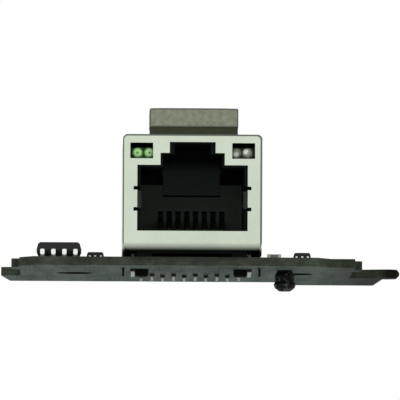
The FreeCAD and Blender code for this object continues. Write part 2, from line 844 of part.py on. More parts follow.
def build_light_pockets(piece):
    """Pockets for the two lights, the channels of their leads and the gap at the foot of these."""
    inner = dim.window_offset - dim.lens_inset - dim.lens_spread / 2 - dim.lens_radius - dim.fit_gap
    outer = dim.window_offset + dim.window_width / 2 + dim.fit_gap
    pocket = rect(inner, outer, dim.window_low - dim.fit_gap, dim.window_high + dim.fit_gap)
    pocket_end = dim.light_front + dim.light_length + dim.fit_gap
    piece.cut("XZ", 0, pocket_end, [pocket, mirrored(pocket)])
    reach = dim.lead_size / 2 + dim.channel_clear
    wall = dim.lead_offset - reach
    loft = rect(pocket_end - 1, lead_rows[1] + reach, dim.window_low, dim.window_high)
    channels = [rect(row - reach, row + reach, -1, dim.window_low + dim.fit_gap) for row in lead_rows]
    side_tunnel = rect(0, lead_rows[1], -1, dim.side_tunnel_height)
    for outline in [loft, side_tunnel] + channels:
        side = piece.cut("YZ", wall, housing_half + 1, [outline])
        piece.mirror([side])


def build_posts(piece):
    """Two locating posts with chamfered tips."""
    tip = -(dim.board_thick + dim.post_reach)
    places = [(-dim.post_offset, dim.post_row), (dim.post_offset, dim.post_row)]
    piece.add("XY", tip, 0.5, circles=[(x, y, dim.post_dia) for x, y in places])
    lowest = tip.value + 1e-6
    piece.soften_rim(lambda edge: edge.BoundBox.ZMax < lowest, dim.post_chamfer, "Chamfer")


def build_comb():
    """Comb at the back of the port that keeps the eight wires apart."""
    piece = Piece("contact_insert", JACK)
    outline = comb_outline(
        dim.cavity_width / 2 - dim.fit_gap, dim.cavity_floor, dim.comb_top, dim.shoulder_top,
        dim.comb_centre / 2 + dim.fit_gap,
    )
    piece.add("XZ", dim.comb_line, dim.comb_line + dim.comb_depth, [outline])
    slot = rect(
        first_contact - dim.slot_width / 2, first_contact + dim.slot_width / 2,
        dim.cavity_floor - 1, dim.slot_top,
    )
    milled = piece.cut("XZ", dim.comb_line - 1, dim.comb_line + dim.slot_depth, [slot])
    piece.repeat(milled, "X", dim.contact_pitch, CONTACTS)
    return piece


def wire_path(piece):
    """Centre line of a contact: along the floor, round a tight bend and back up to the comb."""
    drawing = piece.body.newObject("Sketcher::SketchObject", f"{piece.label}_path")
    drawing.AttachmentSupport = [(piece.origin["YZ_Plane"], "")]
    drawing.MapMode = "FlatFace"
    floor, bend = dim.wire_height.value, dim.wire_bend.value
    turn = FreeCAD.Vector(dim.wire_front.value, floor + bend, 0)
    start = FreeCAD.Vector(dim.wire_tail.value, floor, 0)
    foot = FreeCAD.Vector(turn.x, floor, 0)
    tip = FreeCAD.Vector(dim.wire_tip_line.value, dim.wire_tip_height.value, 0)
    away = tip - turn
    leave = math.atan2(away.y, away.x) + math.acos(bend / away.Length)
    crest = turn + FreeCAD.Vector(math.cos(leave), math.sin(leave), 0) * bend
    ring = Part.Circle(turn, FreeCAD.Vector(0, 0, 1), bend)
    run = drawing.addGeometry(Part.LineSegment(start, foot))
    arc = drawing.addGeometry(Part.ArcOfCircle(ring, leave, 1.5 * math.pi))
    rise = drawing.addGeometry(Part.LineSegment(crest, tip))
    drawing.addConstraint(Sketcher.Constraint("Tangent", run, 2, arc, 2))
    drawing.addConstraint(Sketcher.Constraint("Tangent", rise, 1, arc, 1))
    drawing.addConstraint(Sketcher.Constraint("Horizontal", run))
    index = drawing.addConstraint(Sketcher.Constraint("Radius", arc, bend))
    bind(drawing, f"Constraints[{index}]", dim.wire_bend)
    piece.hold(drawing, run, 1, dim.wire_tail, dim.wire_height)
    piece.hold(drawing, rise, 2, dim.wire_tip_line, dim.wire_tip_height)
    index = drawing.addConstraint(Sketcher.Constraint("DistanceX", -1, 1, run, 2, foot.x))
    bind(drawing, f"Constraints[{index}]", dim.wire_front)
    return drawing


def build_contacts():
    """Eight spring wires, one for each slot of the comb."""
    half = dim.wire / 2
    pieces = []
    for index in range(CONTACTS):
        across = dim.jack_offset + first_contact + dim.contact_pitch * index
        piece = Piece(f"contact_{index + 1}", (across, JACK[1], JACK[2]))
        section = rect(-half, half, dim.wire_height - half, dim.wire_height + half)
        pipe = piece.body.newObject("PartDesign::AdditivePipe", f"{piece.label}_wire")
        pipe.Profile = piece.sketch("XZ", [section], level=dim.wire_tail)
        pipe.Spine = wire_path(piece)
        piece.body.Tip = pipe
        pieces.append(piece)
    return pieces


def core_ring(growth):
    """Outer and inner outline of a ring core, grown on both sides."""
    widths = (dim.core_outer + growth, dim.core_inner - growth)
    return [many_sided(0, 0, width * 2, 10) for width in widths]


def build_magnetics():
    """Small carrier board in the rear chamber, with four wound ring cores and the signal pins."""
    carrier = Piece("magnetics_board", JACK)
    carrier_top = dim.wire_height - dim.wire / 2
    half = dim.chamber_width / 2 - dim.fit_gap * 2
    outline = rect(-half, half, dim.carrier_front, housing_end - dim.fit_gap)
    carrier.add("XY", dim.chamber_floor, carrier_top, [outline])
    pins = Piece("signal_pins", JACK)
    foot = -(dim.board_thick + dim.pin_reach)
    for first, depth in pin_rows:
        drilled = carrier.cut("XY", dim.chamber_floor, carrier_top, [pin_hole(first, depth)])
        carrier.repeat(drilled, "X", dim.pin_pitch, PINS_IN_ROW)
        pin = pins.add("XY", foot, carrier_top + dim.pin_head, [pin_section(first, depth)])
        pins.repeat(pin, "X", dim.pin_pitch, PINS_IN_ROW)
    pieces = [carrier, pins]
    places = [(side, step) for step in (0, 1) for side in (-1, 1)]
    for index, (side, step) in enumerate(places, start=1):
        across = dim.jack_offset + dim.core_offset * side
        depth = JACK[1] + dim.jack_length - dim.core_rear - dim.core_step * (1 - step)
        stand = dim.board_thick + carrier_top + dim.pin_head + dim.fit_gap
        place = (across, depth, stand + dim.winding)
        core = Piece(f"transformer_core_{index}", place)
        core.add("XY", 0, dim.core_height, core_ring(0))
        winding = Piece(f"core_winding_{index}", place)
        winding.add("XY", -dim.winding, dim.core_height + dim.winding, core_ring(dim.winding))
        winding.cut("XY", 0, dim.core_height, core_ring(0))
        pieces += [core, winding]
    return pieces


def build_light(label, side):
    """Indicator light: a clear block with two round lenses at its front, and its two bent leads."""
    middle = dim.window_offset - dim.lens_inset * 0.2
    half = dim.window_width / 2 - dim.fit_gap
    low = dim.window_low
    block = Piece(label, JACK)
    near = rect((middle - half) * side, (middle + half) * side, low, low + dim.light_height)
    block.add("XZ", dim.light_front, dim.light_front + dim.light_length, [near])
    centre = (dim.window_offset - dim.lens_inset) * side
    for spread in (-0.5, 0.5):
        lens = block.body.newObject("PartDesign::AdditiveSphere", f"{label}_lens")
        bind(lens, "Radius", dim.lens_radius)
        bind(lens, "Placement.Base.x", centre + dim.lens_spread * spread)
        bind(lens, "Placement.Base.y", dim.light_front)
        bind(lens, "Placement.Base.z", dim.lens_height)
        block.body.Tip = lens
    leads = Piece(f"{label}_leads", JACK)
    start = dim.light_front + dim.light_length
    foot = -(dim.board_thick + dim.lead_reach)
    half_lead = dim.lead_size / 2
    across = dim.lead_offset * side
    for level, row in zip((0.27, 0.77), lead_rows):
        height = low + dim.light_height * level
        bent = [
            (start, height - half_lead),
            (row - half_lead, height - half_lead),
            (row - half_lead, foot),
            (row + half_lead, foot),
            (row + half_lead, height + half_lead),
            (start, height + half_lead),
        ]
        leads.add("YZ", across - half_lead, across + half_lead, [bent])
    return [block, leads]


def build_gasket():
    """Cloth-covered grounding pad on the jack, on its darker adhesive base."""
    across = JACK[0] + dim.pad_offset
    front = JACK[1] + dim.pad_front
    top = dim.board_thick + dim.jack_top
    base = Piece("gasket_adhesive", (across, front, top))
    half = dim.pad_width / 2
    inset = dim.pad_base_inset
    base.add("XY", 0, dim.pad_base, [rect(inset - half, half - inset, inset, dim.pad_depth - inset)])
    pad = Piece("grounding_gasket", (across, front, top + dim.pad_base))
    pad.add("XY", 0, dim.pad_height, [rect(-half, half, 0, dim.pad_depth)])
    pad.soften("Y", [(-half, dim.pad_height), (half, dim.pad_height)], dim.pad_round)
    return [base, pad]


def build_leaded_chip(label, lead_label, package, place, count):
    """Moulded chip with a row of bent leads along its front and its rear.

    package is the first word of its cells, place its X and depth, count the leads in a row.
    """
    width, depth, height = (cell(f"{package}_{side}") for side in ("wide", "deep", "tall"))
    gap, thick, seam = cell(f"{package}_gap"), cell(f"{package}_thick"), cell(f"{package}_seam")
    pitch, lead_width, span = (cell(f"{package}_{side}") for side in ("pitch", "lead", "span"))
    at = (place[0], on_board(place[1]), dim.board_thick)
    half = depth / 2
    draft = (height - gap) * 0.14
    lower, upper = seam - thick / 2, seam + thick / 2
    front_side = [(draft - half, height), (-half, upper), (-half, lower), (draft - half, gap)]
    chip = Piece(label, at)
    chip.add("YZ", -width / 2, width / 2, [front_side + mirrored(front_side)])
    end = width / 2
    upper_end = [
        (end - draft, height), (end, upper), (end + draft, upper), (end + draft, height + 1), (end - draft, height + 1)
    ]
    lower_end = [(end - draft, gap), (end - draft, gap - 1), (end + draft, gap - 1), (end + draft, lower), (end, lower)]
    drafted = [upper_end, lower_end, mirrored(upper_end), mirrored(lower_end)]
    chip.cut("XZ", -half, half, drafted)
    chip.soften("Y", [(end - draft, height), (draft - end, height)], draft * 0.8, "Chamfer")
    mark = width * 0.12
    spot = many_sided(mark * 1.4 - end, mark * 1.6 - half, mark, 8)
    chip.cut("XY", height - thick / 2, height + thick, [spot])
    legs = Piece(lead_label, at)
    outer = span / 2
    knee = half + (outer - half) * 0.42
    wing = [
        (-half, lower),
        (-half, upper),
        (-knee - thick / 2, upper),
        (-knee - thick / 2, thick),
        (-outer, thick),
        (-outer, 0),
        (thick / 2 - knee, 0),
        (thick / 2 - knee, lower),
    ]
    first = pitch * (1 - count) / 2
    for outline in (wing, mirrored(wing)):
        leg = legs.add("YZ", first - lead_width / 2, first + lead_width / 2, [outline])
        legs.repeat(leg, "X", pitch, count)
    return [chip, legs]


def build_controller():
    """Leadless controller behind the jack, on a ring of solder lands."""
    place = (dim.controller_x, on_board(controller_line), dim.board_thick)
    half = dim.controller_side / 2
    pads = Piece("controller_pads", place)
    first = dim.land_pitch * (1 - LANDS_IN_ROW) / 2
    across = (first - dim.land_wide / 2, first + dim.land_wide / 2)
    for near, far in ((-half, dim.land_long - half), (half - dim.land_long, half)):
        land = pads.add("XY", 0, dim.land_tall, [rect(*across, near, far)])
        pads.repeat(land, "X", dim.land_pitch, LANDS_IN_ROW)
        land = pads.add("XY", 0, dim.land_tall, [rect(near, far, *across)])
        pads.repeat(land, "Y", dim.land_pitch, LANDS_IN_ROW)
    chip = Piece("controller_chip", place)
    top = dim.land_tall + dim.controller_tall
    chip.add("XY", dim.land_tall, top, [rect(-half, half, -half, half)])
    mark = half * 0.2
    chip.cut("XY", top - dim.plating, top + 1, circles=[(mark - half * 0.9, mark - half * 0.9, mark)])
    return [chip, pads]


def build_crystal():
    """Ceramic clock crystal with its seam-welded metal lid."""
    place = (dim.crystal_x, on_board(crystal_line), dim.board_thick)
    base = Piece("crystal_base", place)
    lid = Piece("crystal_lid", place)
    levels = (0, dim.crystal_tall, dim.crystal_tall + dim.lid_tall)
    for piece, inset, low, high in ((base, 0, *levels[:2]), (lid, dim.lid_inset, *levels[1:])):
        half_long = dim.crystal_long / 2 - inset
        half_wide = dim.crystal_wide / 2 - inset
        outline = rect(-half_long, half_long, -half_wide, half_wide)
        piece.add("XY", low, high, [outline])
        piece.soften("Z", outline, dim.crystal_round)
    return [base, lid]


def build_inductor():
    """Moulded power inductor with a folded terminal at each end."""
    place = (dim.coil_x, on_board(coil_line), dim.board_thick)
    half, strap = dim.coil_side / 2, dim.coil_strap
    outline = rect(-half, half, -half, half)
    core = Piece("power_inductor", place)
    core.add("XY", strap, dim.coil_tall, [outline])
    core.soften("Z", outline, dim.coil_chamfer, "Chamfer")
    ends = Piece("inductor_terminals", place)
    fold = [
        (half - dim.coil_strap_foot, 0),
        (half + strap, 0),
        (half + strap, dim.coil_tall / 2),
        (half, dim.coil_tall / 2),
        (half, strap),
        (half - dim.coil_strap_foot, strap),
    ]
    strap_half = dim.coil_strap_wide / 2
    ends.add("XZ", -strap_half, strap_half, [fold, mirrored(fold)])
    return [core, ends]


def build_passive(label, place, case, along):
    """Chip part with a metal cap at each end.

    place holds X and depth of its middle, case is the first word of its cells, along its axis.
    """
    length, width, height = (cell(f"{case}_{side}") for side in ("long", "wide", "tall"))
    end, half, skin = length / 2, width / 2, dim.cap_skin
    cap = length * 0.22
    turned = along == "Y"
    piece = Piece(label, (place[0], on_board(place[1]), dim.board_thick))
    spans = (
        (skin - end, end - skin, half - skin, skin, height - skin),
        (-end, cap - end, half, 0, height),
        (end - cap, end, half, 0, height),
    )
    for near, far, side, low, high in spans:
        outline = rect(-side, side, near, far) if turned else rect(near, far, -side, side)
        piece.add("XY", low, high, [outline])
    return piece


def build_foot():
    """Push-in support foot: a turned stub under the board with its stem through it."""
    foot = Piece("support_foot", (dim.foot_x, on_board(dim.foot_line), 0))
    wide = dim.foot_radius
    low = -dim.foot_reach
    stem = dim.foot_stem
    head = dim.board_thick
    foot.spin([
        (0, low),
        (wide * 0.5, low),
        (wide * 0.88, low * 0.85),
        (wide, low * 0.68),
        (wide * 0.86, low * 0.54),
        (wide * 0.9, low * 0.24),
        (wide * 0.65, 0),
        (stem, 0),
        (stem, head),
        (stem + dim.foot_bulb, head),
        (stem * 0.7, head + dim.foot_bulb_tall),
        (0, head + dim.foot_bulb_tall),
    ])
    return foot


CAPACITORS = (
    ((port_cap_x, dim.port_cap_line), "small", "X"),
    ((dim.core_cap_x, core_cap_line), "small", "Y"),
    ((dim.core_cap_x, core_cap_line + dim.core_cap_step), "small", "Y"),
    ((dim.regulator_x, supply_cap_line), "large", "X"),
    ((dim.bulk_cap_x, bulk_cap_line), "large", "Y"),
)
RESISTORS = (
    ((flash_x - dim.pull_shift, pull_line), "tiny", "X"),
    ((flash_x - dim.pull_shift + dim.pull_step, pull_line), "tiny", "X"),
    ((dim.clock_res_x, clock_res_line), "tiny", "Y"),
    ((dim.side_res_x, dim.side_res_line), "tiny", "Y"),
)

pieces = [build_board(), build_edge_contacts()]
pieces += [build_shield(), build_rear_cover(), build_housing(), build_comb()]
pieces += build_contacts()
pieces += build_magnetics()
pieces += build_light("led_left", -1)
pieces += build_light("led_right", 1)
pieces += build_gasket()
flash_place = (flash_x, dim.flash_line)
pieces += build_leaded_chip("flash_chip", "flash_leads", "flash", flash_place, 4)
for hand, across in (("left", guard_left_x), ("right", guard_right_x)):
    guard = f"line_guard_{hand}"
    guard_place = (across, cell(f"guard_{hand}_line"))
    pieces += build_leaded_chip(guard, f"{guard}_leads", "guard", guard_place, 3)
regulator_place = (dim.regulator_x, regulator_line)
pieces += build_leaded_chip("regulator_chip", "regulator_leads", "regulator", regulator_place, 3)
pieces += build_controller() + build_crystal() + build_inductor()
for index, (place, case, along) in enumerate(CAPACITORS, start=1):
    pieces.append(build_passive(f"capacitor_{index}", place, case, along))
for index, (place, case, along) in enumerate(RESISTORS, start=1):
    pieces.append(build_passive(f"resistor_{index}", place, case, along))
pieces.append(build_foot())

doc.recompute()
for thing in doc.Objects:
    if {"Invalid", "Error"} & set(thing.State):
        raise RuntimeError(f"{thing.Label} failed: {thing.State}")
for piece in pieces:
    shape = piece.body.Shape
    if shape.isNull() or not shape.isValid() or not shape.Solids:
        raise RuntimeError(f"{piece.label} has no valid solid")

os.makedirs("parts", exist_ok=True)
for piece in pieces:
    piece.body.Shape.exportStep(f"parts/{piece.label}.step")
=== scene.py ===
"""Looks of the network adapter card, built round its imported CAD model.

The card is seen almost edge-on from in front of its port and a little from below.
Every length is in metres and every piece is in the card's own frame: X to the right of
someone who faces the port, Y from the port to the rear, Z up.
"""

from __future__ import annotations

import json
import logging
import math
from contextlib import contextmanager
from dataclasses import dataclass, replace
from enum import Enum
from typing import Callable, Iterator, Sequence

import bmesh
import bpy
from mathutils import Matrix, Vector

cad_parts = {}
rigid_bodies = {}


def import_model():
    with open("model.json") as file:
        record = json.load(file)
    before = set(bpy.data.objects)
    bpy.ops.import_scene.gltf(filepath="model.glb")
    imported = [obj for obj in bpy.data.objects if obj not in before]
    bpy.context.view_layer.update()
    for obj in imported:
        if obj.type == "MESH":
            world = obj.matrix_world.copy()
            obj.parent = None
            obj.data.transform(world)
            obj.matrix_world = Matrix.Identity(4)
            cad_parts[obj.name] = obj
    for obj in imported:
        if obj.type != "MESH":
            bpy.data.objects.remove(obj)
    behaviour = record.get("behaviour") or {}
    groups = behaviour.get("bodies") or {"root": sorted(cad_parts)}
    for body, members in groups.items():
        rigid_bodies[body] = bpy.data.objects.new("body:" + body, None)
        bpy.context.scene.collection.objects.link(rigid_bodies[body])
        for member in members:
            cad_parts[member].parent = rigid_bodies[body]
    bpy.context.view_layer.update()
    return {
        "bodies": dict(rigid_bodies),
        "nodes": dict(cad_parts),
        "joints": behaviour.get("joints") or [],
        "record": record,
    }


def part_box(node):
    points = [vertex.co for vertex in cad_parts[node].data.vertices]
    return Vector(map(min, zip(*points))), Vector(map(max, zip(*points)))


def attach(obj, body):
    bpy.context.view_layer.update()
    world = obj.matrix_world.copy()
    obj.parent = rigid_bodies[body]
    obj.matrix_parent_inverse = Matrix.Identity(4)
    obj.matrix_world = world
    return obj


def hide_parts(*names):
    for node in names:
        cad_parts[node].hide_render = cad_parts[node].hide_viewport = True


Colour = tuple[float, float, float, float]
Point = tuple[float, float, float]
Pair = tuple[float, float]
Socket = bpy.types.NodeSocket
Feed = Socket | float | Sequence[float]
Group = bpy.types.NodeTree
Piece = bpy.types.Object
Nodes = dict[str, Piece]
Mesh = bmesh.types.BMesh

LOG = logging.getLogger("adapter_card")
BODY = "root"

MM = 0.001
ORIGIN = (0.0, 0.0, 0.0)
WHITE = (1.0, 1.0, 1.0, 1.0)
# Distance within which two places count as one, and a length past everything on the card
CLOSE = 0.01 * MM
FAR = 1.0
# Share of a normal along an axis above which a face looks that way
FACING = 0.5
# Depth of a finish's relief, and how metallic tinned copper is
BUMP_DEPTH = 0.02 * MM
TINNED = 0.9


def srgb(red: int, green: int, blue: int) -> Colour:
    """Turn a colour as a screen shows it into the linear one that a shader takes.

    Args:
        red: Red from 0 to 255.
        green: Green from 0 to 255.
        blue: Blue from 0 to 255.

    Returns:
        The linear colour with full alpha.
    """
    parts = [value / 255 for value in (red, green, blue)]
    linear = [v / 12.92 if v <= 0.04045 else ((v + 0.055) / 1.055) ** 2.4 for v in parts]
    return (linear[0], linear[1], linear[2], 1.0)


class Axis(Enum):
    """Axes of the card's frame."""

    X = 0
    Y = 1
    Z = 2


class Hand(Enum):
    """The two lights of the jack, as the way to each from the middle of the face."""

    LEFT = -1
    RIGHT = 1

    @property
    def light(self) -> str:
        """Return the name of the light's node."""
        return f"led_{self.name.lower()}"


class PadLayer(Enum):
    """Materials of the grounding pad, by their slot."""

    CLOTH = 0
    FOAM = 1
    CUT_EDGE = 2


# Node trees and shared effects


class Tree:
    """A node tree that is filled one node to a call."""

    # Inputs and output of a Mix node that carry colours
    MIX_COLOURS = (6, 7)
    MIXED_COLOUR = 2

    def __init__(self, tree: Group) -> None:
        """Keep the tree that is filled."""
        self.tree = tree

    def node(
        self, kind: str, settings: dict[str, object] | None = None, *terms: Feed, **feeds: Feed
    ) -> bpy.types.Node:
        """Add one node.

        Args:
            kind: Blender's name for the node type.
            settings: Properties of the node itself.
            *terms: Its first inputs in order.
            **feeds: Inputs by name, with underscores for spaces.

        Returns:
            The new node.
        """
        made = self.tree.nodes.new(kind)
        for name, value in (settings or {}).items():
            setattr(made, name, value)
        for number, value in enumerate(terms):
            self.feed(made, number, value)
        for name, value in feeds.items():
            self.feed(made, name.replace("_", " "), value)
        return made

    def feed(self, node: bpy.types.Node, name: str | int, value: Feed) -> None:
        """Link or set one input of a node.

        Args:
            node: The node that takes the value.
            name: Name or number of its input.
            value: A socket to link, or a plain value.
        """
        if isinstance(value, Socket):
            self.tree.links.new(value, node.inputs[name])
        else:
            node.inputs[name].default_value = value

    def maths(self, operation: str, *terms: Feed, clamp: bool = False) -> Socket:
        """Return the result of a Math node, held between 0 and 1 if clamp says so."""
        return self.node("ShaderNodeMath", {"operation": operation, "use_clamp": clamp}, *terms).outputs[0]

    def vector(self, operation: str, *terms: Feed) -> Socket:
        """Return the result of a Vector Math node, which is a number for a length."""
        made = self.node("ShaderNodeVectorMath", {"operation": operation}, *terms)
        return made.outputs["Value" if operation == "LENGTH" else "Vector"]

    def split(self, vector: Socket) -> list[Socket]:
        """Take a vector apart into its X, Y and Z sockets."""
        return list(self.node("ShaderNodeSeparateXYZ", Vector=vector).outputs)

    def place(self) -> Socket:
        """Return the socket of the place on the object, in metres."""
        return self.node("ShaderNodeTexCoord").outputs["Object"]

    def along(self, axis: Axis) -> Socket:
        """Return the socket of the place along one axis."""
        return self.split(self.place())[axis.value]

    def per_metre(self, size: Feed) -> Socket:
        """Return how often a size goes into a metre, which is a texture's scale."""
        return self.maths("DIVIDE", 1.0, size)

    def wave(self, along: Socket, pitch: Feed) -> Socket:
        """Return a sine wave along an axis, by its pitch."""
        turns = self.maths("DIVIDE", 2 * math.pi, pitch)
        return self.maths("SINE", self.maths("MULTIPLY", along, turns))

    def blend(self, share: Feed, *colours: Feed) -> Socket:
        """Mix two colours.

        Args:
            share: How much of the second colour shows, from 0 to 1.
            *colours: The two colours.

        Returns:
            The mixed colour's socket.
        """
        made = self.node("ShaderNodeMix", {"data_type": "RGBA"}, share)
        for number, colour in zip(self.MIX_COLOURS, colours):
            self.feed(made, number, colour)
        return made.outputs[self.MIXED_COLOUR]

    def between(self, value: Feed, low: Feed, high: Feed) -> Socket:
        """Stretch a value from 0 to 1 over the numbers from low to high."""
        return self.node("ShaderNodeMapRange", Value=value, To_Min=low, To_Max=high).outputs[0]

    def ramp(self, value: Feed, low: float, high: float) -> Socket:
        """Rise smoothly from 0 to 1 while a value goes from low to high."""
        smooth = {"interpolation_type": "SMOOTHSTEP"}
        return self.node("ShaderNodeMapRange", smooth, Value=value, From_Min=low, From_Max=high).outputs[0]

    def soft_step(self, amount: Feed, soft: Feed) -> Socket:
        """Return 1 where an amount is above 0 and 0 below, over a soft edge of some width."""
        return self.maths("ADD", self.maths("DIVIDE", amount, soft), 0.5, clamp=True)

    def stroke(self, off: Feed, width: Feed, soft: Feed) -> Socket:
        """Return the mask of a line, by the distance off its middle, its width and its soft edge."""
        half = self.maths("MULTIPLY", width, 0.5)
        return self.soft_step(self.maths("SUBTRACT", half, self.maths("ABSOLUTE", off)), soft)

    def highest(self, masks: Sequence[Socket]) -> Feed:
        """Join some masks.

        Args:
            masks: Sockets of the masks.

        Returns:
            The highest of them at each place, or 0 if there are none.
        """
        total: Feed = 0.0
        for mask in masks:
            total = self.maths("MAXIMUM", total, mask)
        return total


class Effects:
    """Shader groups that several finishes use, and the materials that use them, each built once."""

    # Width of a mark's soft edge
    SOFT = 0.02 * MM

    def __init__(self) -> None:
        """Start with nothing built."""
        self.groups: dict[Callable[[Effects], Group], Group] = {}
        self.materials: dict[Finish, bpy.types.Material] = {}

    def group(self, effect: Callable[[Effects], Group]) -> Group:
        """Find the group of one effect.

        Args:
            effect: The method below that builds it.

        Returns:
            The group, built at its first use.
        """
        if effect not in self.groups:
            self.groups[effect] = effect(self)
        return self.groups[effect]

    @staticmethod
    def start(name: str, **inputs: float | Point) -> tuple[Tree, dict[str, Socket]]:
        """Begin a group.

        Args:
            name: Name of the group.
            **inputs: Default of each input, a number or a vector.

        Returns:
            The group's tree and the sockets of its inputs by name.
        """
        group = bpy.data.node_groups.new(name, "ShaderNodeTree")
        for label, value in inputs.items():
            kind = "NodeSocketFloat" if isinstance(value, float) else "NodeSocketVector"
            socket = group.interface.new_socket(label, in_out="INPUT", socket_type=kind)
            socket.default_value = value
        group.interface.new_socket("Mask", in_out="OUTPUT", socket_type="NodeSocketFloat")
        entry = group.nodes.new("NodeGroupInput")
        return Tree(group), {label: entry.outputs[label] for label in inputs}

    @staticmethod
    def end(tree: Tree, mask: Socket) -> Group:
        """Link a group's result and return its node tree."""
        tree.node("NodeGroupOutput", Mask=mask)
        return tree.tree

    def grain(self) -> Group:
        """Make fine moulding or plating grain, by the size of its bumps.

        Returns:
            The group.
        """
        tree, inputs = self.start("fine_grain", Size=0.1 * MM)
        scale = tree.per_metre(inputs["Size"])
        noise = tree.node("ShaderNodeTexNoise", Vector=tree.place(), Scale=scale, Detail=3.0)
        return self.end(tree, noise.outputs[0])

    def blotch(self) -> Group:
        """Make broad uneven patches, by their size, the hardness of their edges and how they are drawn out.

        Returns:
            The group.
        """
        tree, inputs = self.start(
            "broad_blotches", Size=3.0 * MM, Contrast=2.0, Shift=0.0, Squeeze=(1.0, 1.0, 1.0)
        )
        moved = tree.vector("MULTIPLY_ADD", tree.place(), inputs["Squeeze"], inputs["Shift"])
        scale = tree.per_metre(inputs["Size"])
        noise = tree.node("ShaderNodeTexNoise", Vector=moved, Scale=scale, Detail=4.0, Roughness=0.6)
        centred = tree.maths("SUBTRACT", noise.outputs[0], 0.5)
        return self.end(tree, tree.maths("MULTIPLY_ADD", centred, inputs["Contrast"], 0.5, clamp=True))

    def ring(self) -> Group:
        """Make a ring on an upright face, by its centre, mean radius, width and soft edge.

        Returns:
            The group.
        """
        tree, inputs = self.start(
            "ring_mark", Centre=ORIGIN, Upright=(1.0, 0.0, 1.0),
            Radius=0.5 * MM, Width=0.2 * MM, Soft=self.SOFT,
        )
        off = tree.vector("SUBTRACT", tree.place(), inputs["Centre"])
        away = tree.vector("LENGTH", tree.vector("MULTIPLY", off, inputs["Upright"]))
        past = tree.maths("SUBTRACT", away, inputs["Radius"])
        return self.end(tree, tree.stroke(past, inputs["Width"], inputs["Soft"]))

    def ring_row(self) -> Group:
        """Make a row of flat rings along X, from the first one's centre.

        Returns:
            The group.
        """
        tree, inputs = self.start(
            "ring_row", First=ORIGIN, Pitch=2.54 * MM, Last=4.0, Radius=0.5 * MM, Width=0.2 * MM
        )
        off_x, off_y, _ = tree.split(tree.vector("SUBTRACT", tree.place(), inputs["First"]))
        step = tree.maths("ROUND", tree.maths("DIVIDE", off_x, inputs["Pitch"]))
        step = tree.maths("MINIMUM", tree.maths("MAXIMUM", step, 0.0), inputs["Last"])
        near_x = tree.maths("SUBTRACT", off_x, tree.maths("MULTIPLY", step, inputs["Pitch"]))
        flat = tree.node("ShaderNodeCombineXYZ", X=near_x, Y=off_y).outputs[0]
        past = tree.maths("SUBTRACT", tree.vector("LENGTH", flat), inputs["Radius"])
        return self.end(tree, tree.stroke(past, inputs["Width"], self.SOFT))

    def slab(self) -> Group:
        """Make the inside of a box with round corners, by its centre, half sizes, radius and soft edge.

        Returns:
            The group.
        """
        tree, inputs = self.start("slab", Centre=ORIGIN, Half=(MM, MM, MM), Round=0.0, Soft=self.SOFT)
        off = tree.vector("ABSOLUTE", tree.vector("SUBTRACT", tree.place(), inputs["Centre"]))
        over = tree.vector("ADD", tree.vector("SUBTRACT", off, inputs["Half"]), inputs["Round"])
        sides = tree.split(over)
        inner = tree.maths("MAXIMUM", tree.maths("MAXIMUM", sides[0], sides[1]), sides[2])
        outer = tree.vector("LENGTH", tree.vector("MAXIMUM", over, ORIGIN))
        away = tree.maths("ADD", tree.maths("MINIMUM", inner, 0.0), outer)
        return self.end(tree, tree.soft_step(tree.maths("SUBTRACT", inputs["Round"], away), inputs["Soft"]))

    def outline(self) -> Group:
        """Make a printed frame round a place on the board, by its half sizes and its line width.

        Returns:
            The group.
        """
        tree, inputs = self.start("printed_frame", Centre=ORIGIN, Half=(MM, MM, 0.0), Line=0.15 * MM)
        off = tree.vector("ABSOLUTE", tree.vector("SUBTRACT", tree.place(), inputs["Centre"]))
        side_x, side_y, _ = tree.split(tree.vector("SUBTRACT", off, inputs["Half"]))
        return self.end(tree, tree.stroke(tree.maths("MAXIMUM", side_x, side_y), inputs["Line"], self.SOFT))

    def copper(self) -> Group:
        """Make copper areas under the mask, some of them split into traces along Y.

        Returns:
            The group, by the size and stretch of the areas, the gap between them, the pitch and depth
            of the traces, the chance that an area is whole, and the strength of the faintest one.
        """
        tree, inputs = self.start(
            "copper_areas", Size=2.2 * MM, Stretch=(1.0, 0.45, 0.0), Gap=0.05, Edge=0.04,
            Trace=0.5 * MM, Sharpness=-2.5, Whole=0.6, Depth=0.6, Faintest=0.25,
        )
        flat = tree.vector("MULTIPLY", tree.place(), inputs["Stretch"])
        scale = tree.per_metre(inputs["Size"])
        nearest, second = (
            tree.node(
                "ShaderNodeTexVoronoi",
                {"feature": feature, "distance": "CHEBYCHEV", "voronoi_dimensions": "2D"},
                Vector=flat,
                Scale=scale,
                Randomness=0.75,
            )
            for feature in ("F1", "F2")
        )
        gap = tree.maths("SUBTRACT", second.outputs["Distance"], nearest.outputs["Distance"])
        area = tree.soft_step(tree.maths("SUBTRACT", gap, inputs["Gap"]), inputs["Edge"])
        strength, kind, _ = tree.split(nearest.outputs["Color"])
        wave = tree.wave(tree.along(Axis.X), inputs["Trace"])
        groove = tree.maths("MULTIPLY_ADD", wave, inputs["Sharpness"], 0.5, clamp=True)
        groove = tree.maths("MULTIPLY", groove, tree.maths("GREATER_THAN", kind, inputs["Whole"]))
        groove = tree.maths("MULTIPLY", groove, inputs["Depth"])
        area = tree.maths("MULTIPLY", area, tree.maths("SUBTRACT", 1.0, groove))
        return self.end(tree, tree.maths("MULTIPLY", area, tree.between(strength, inputs["Faintest"], 1.0)))

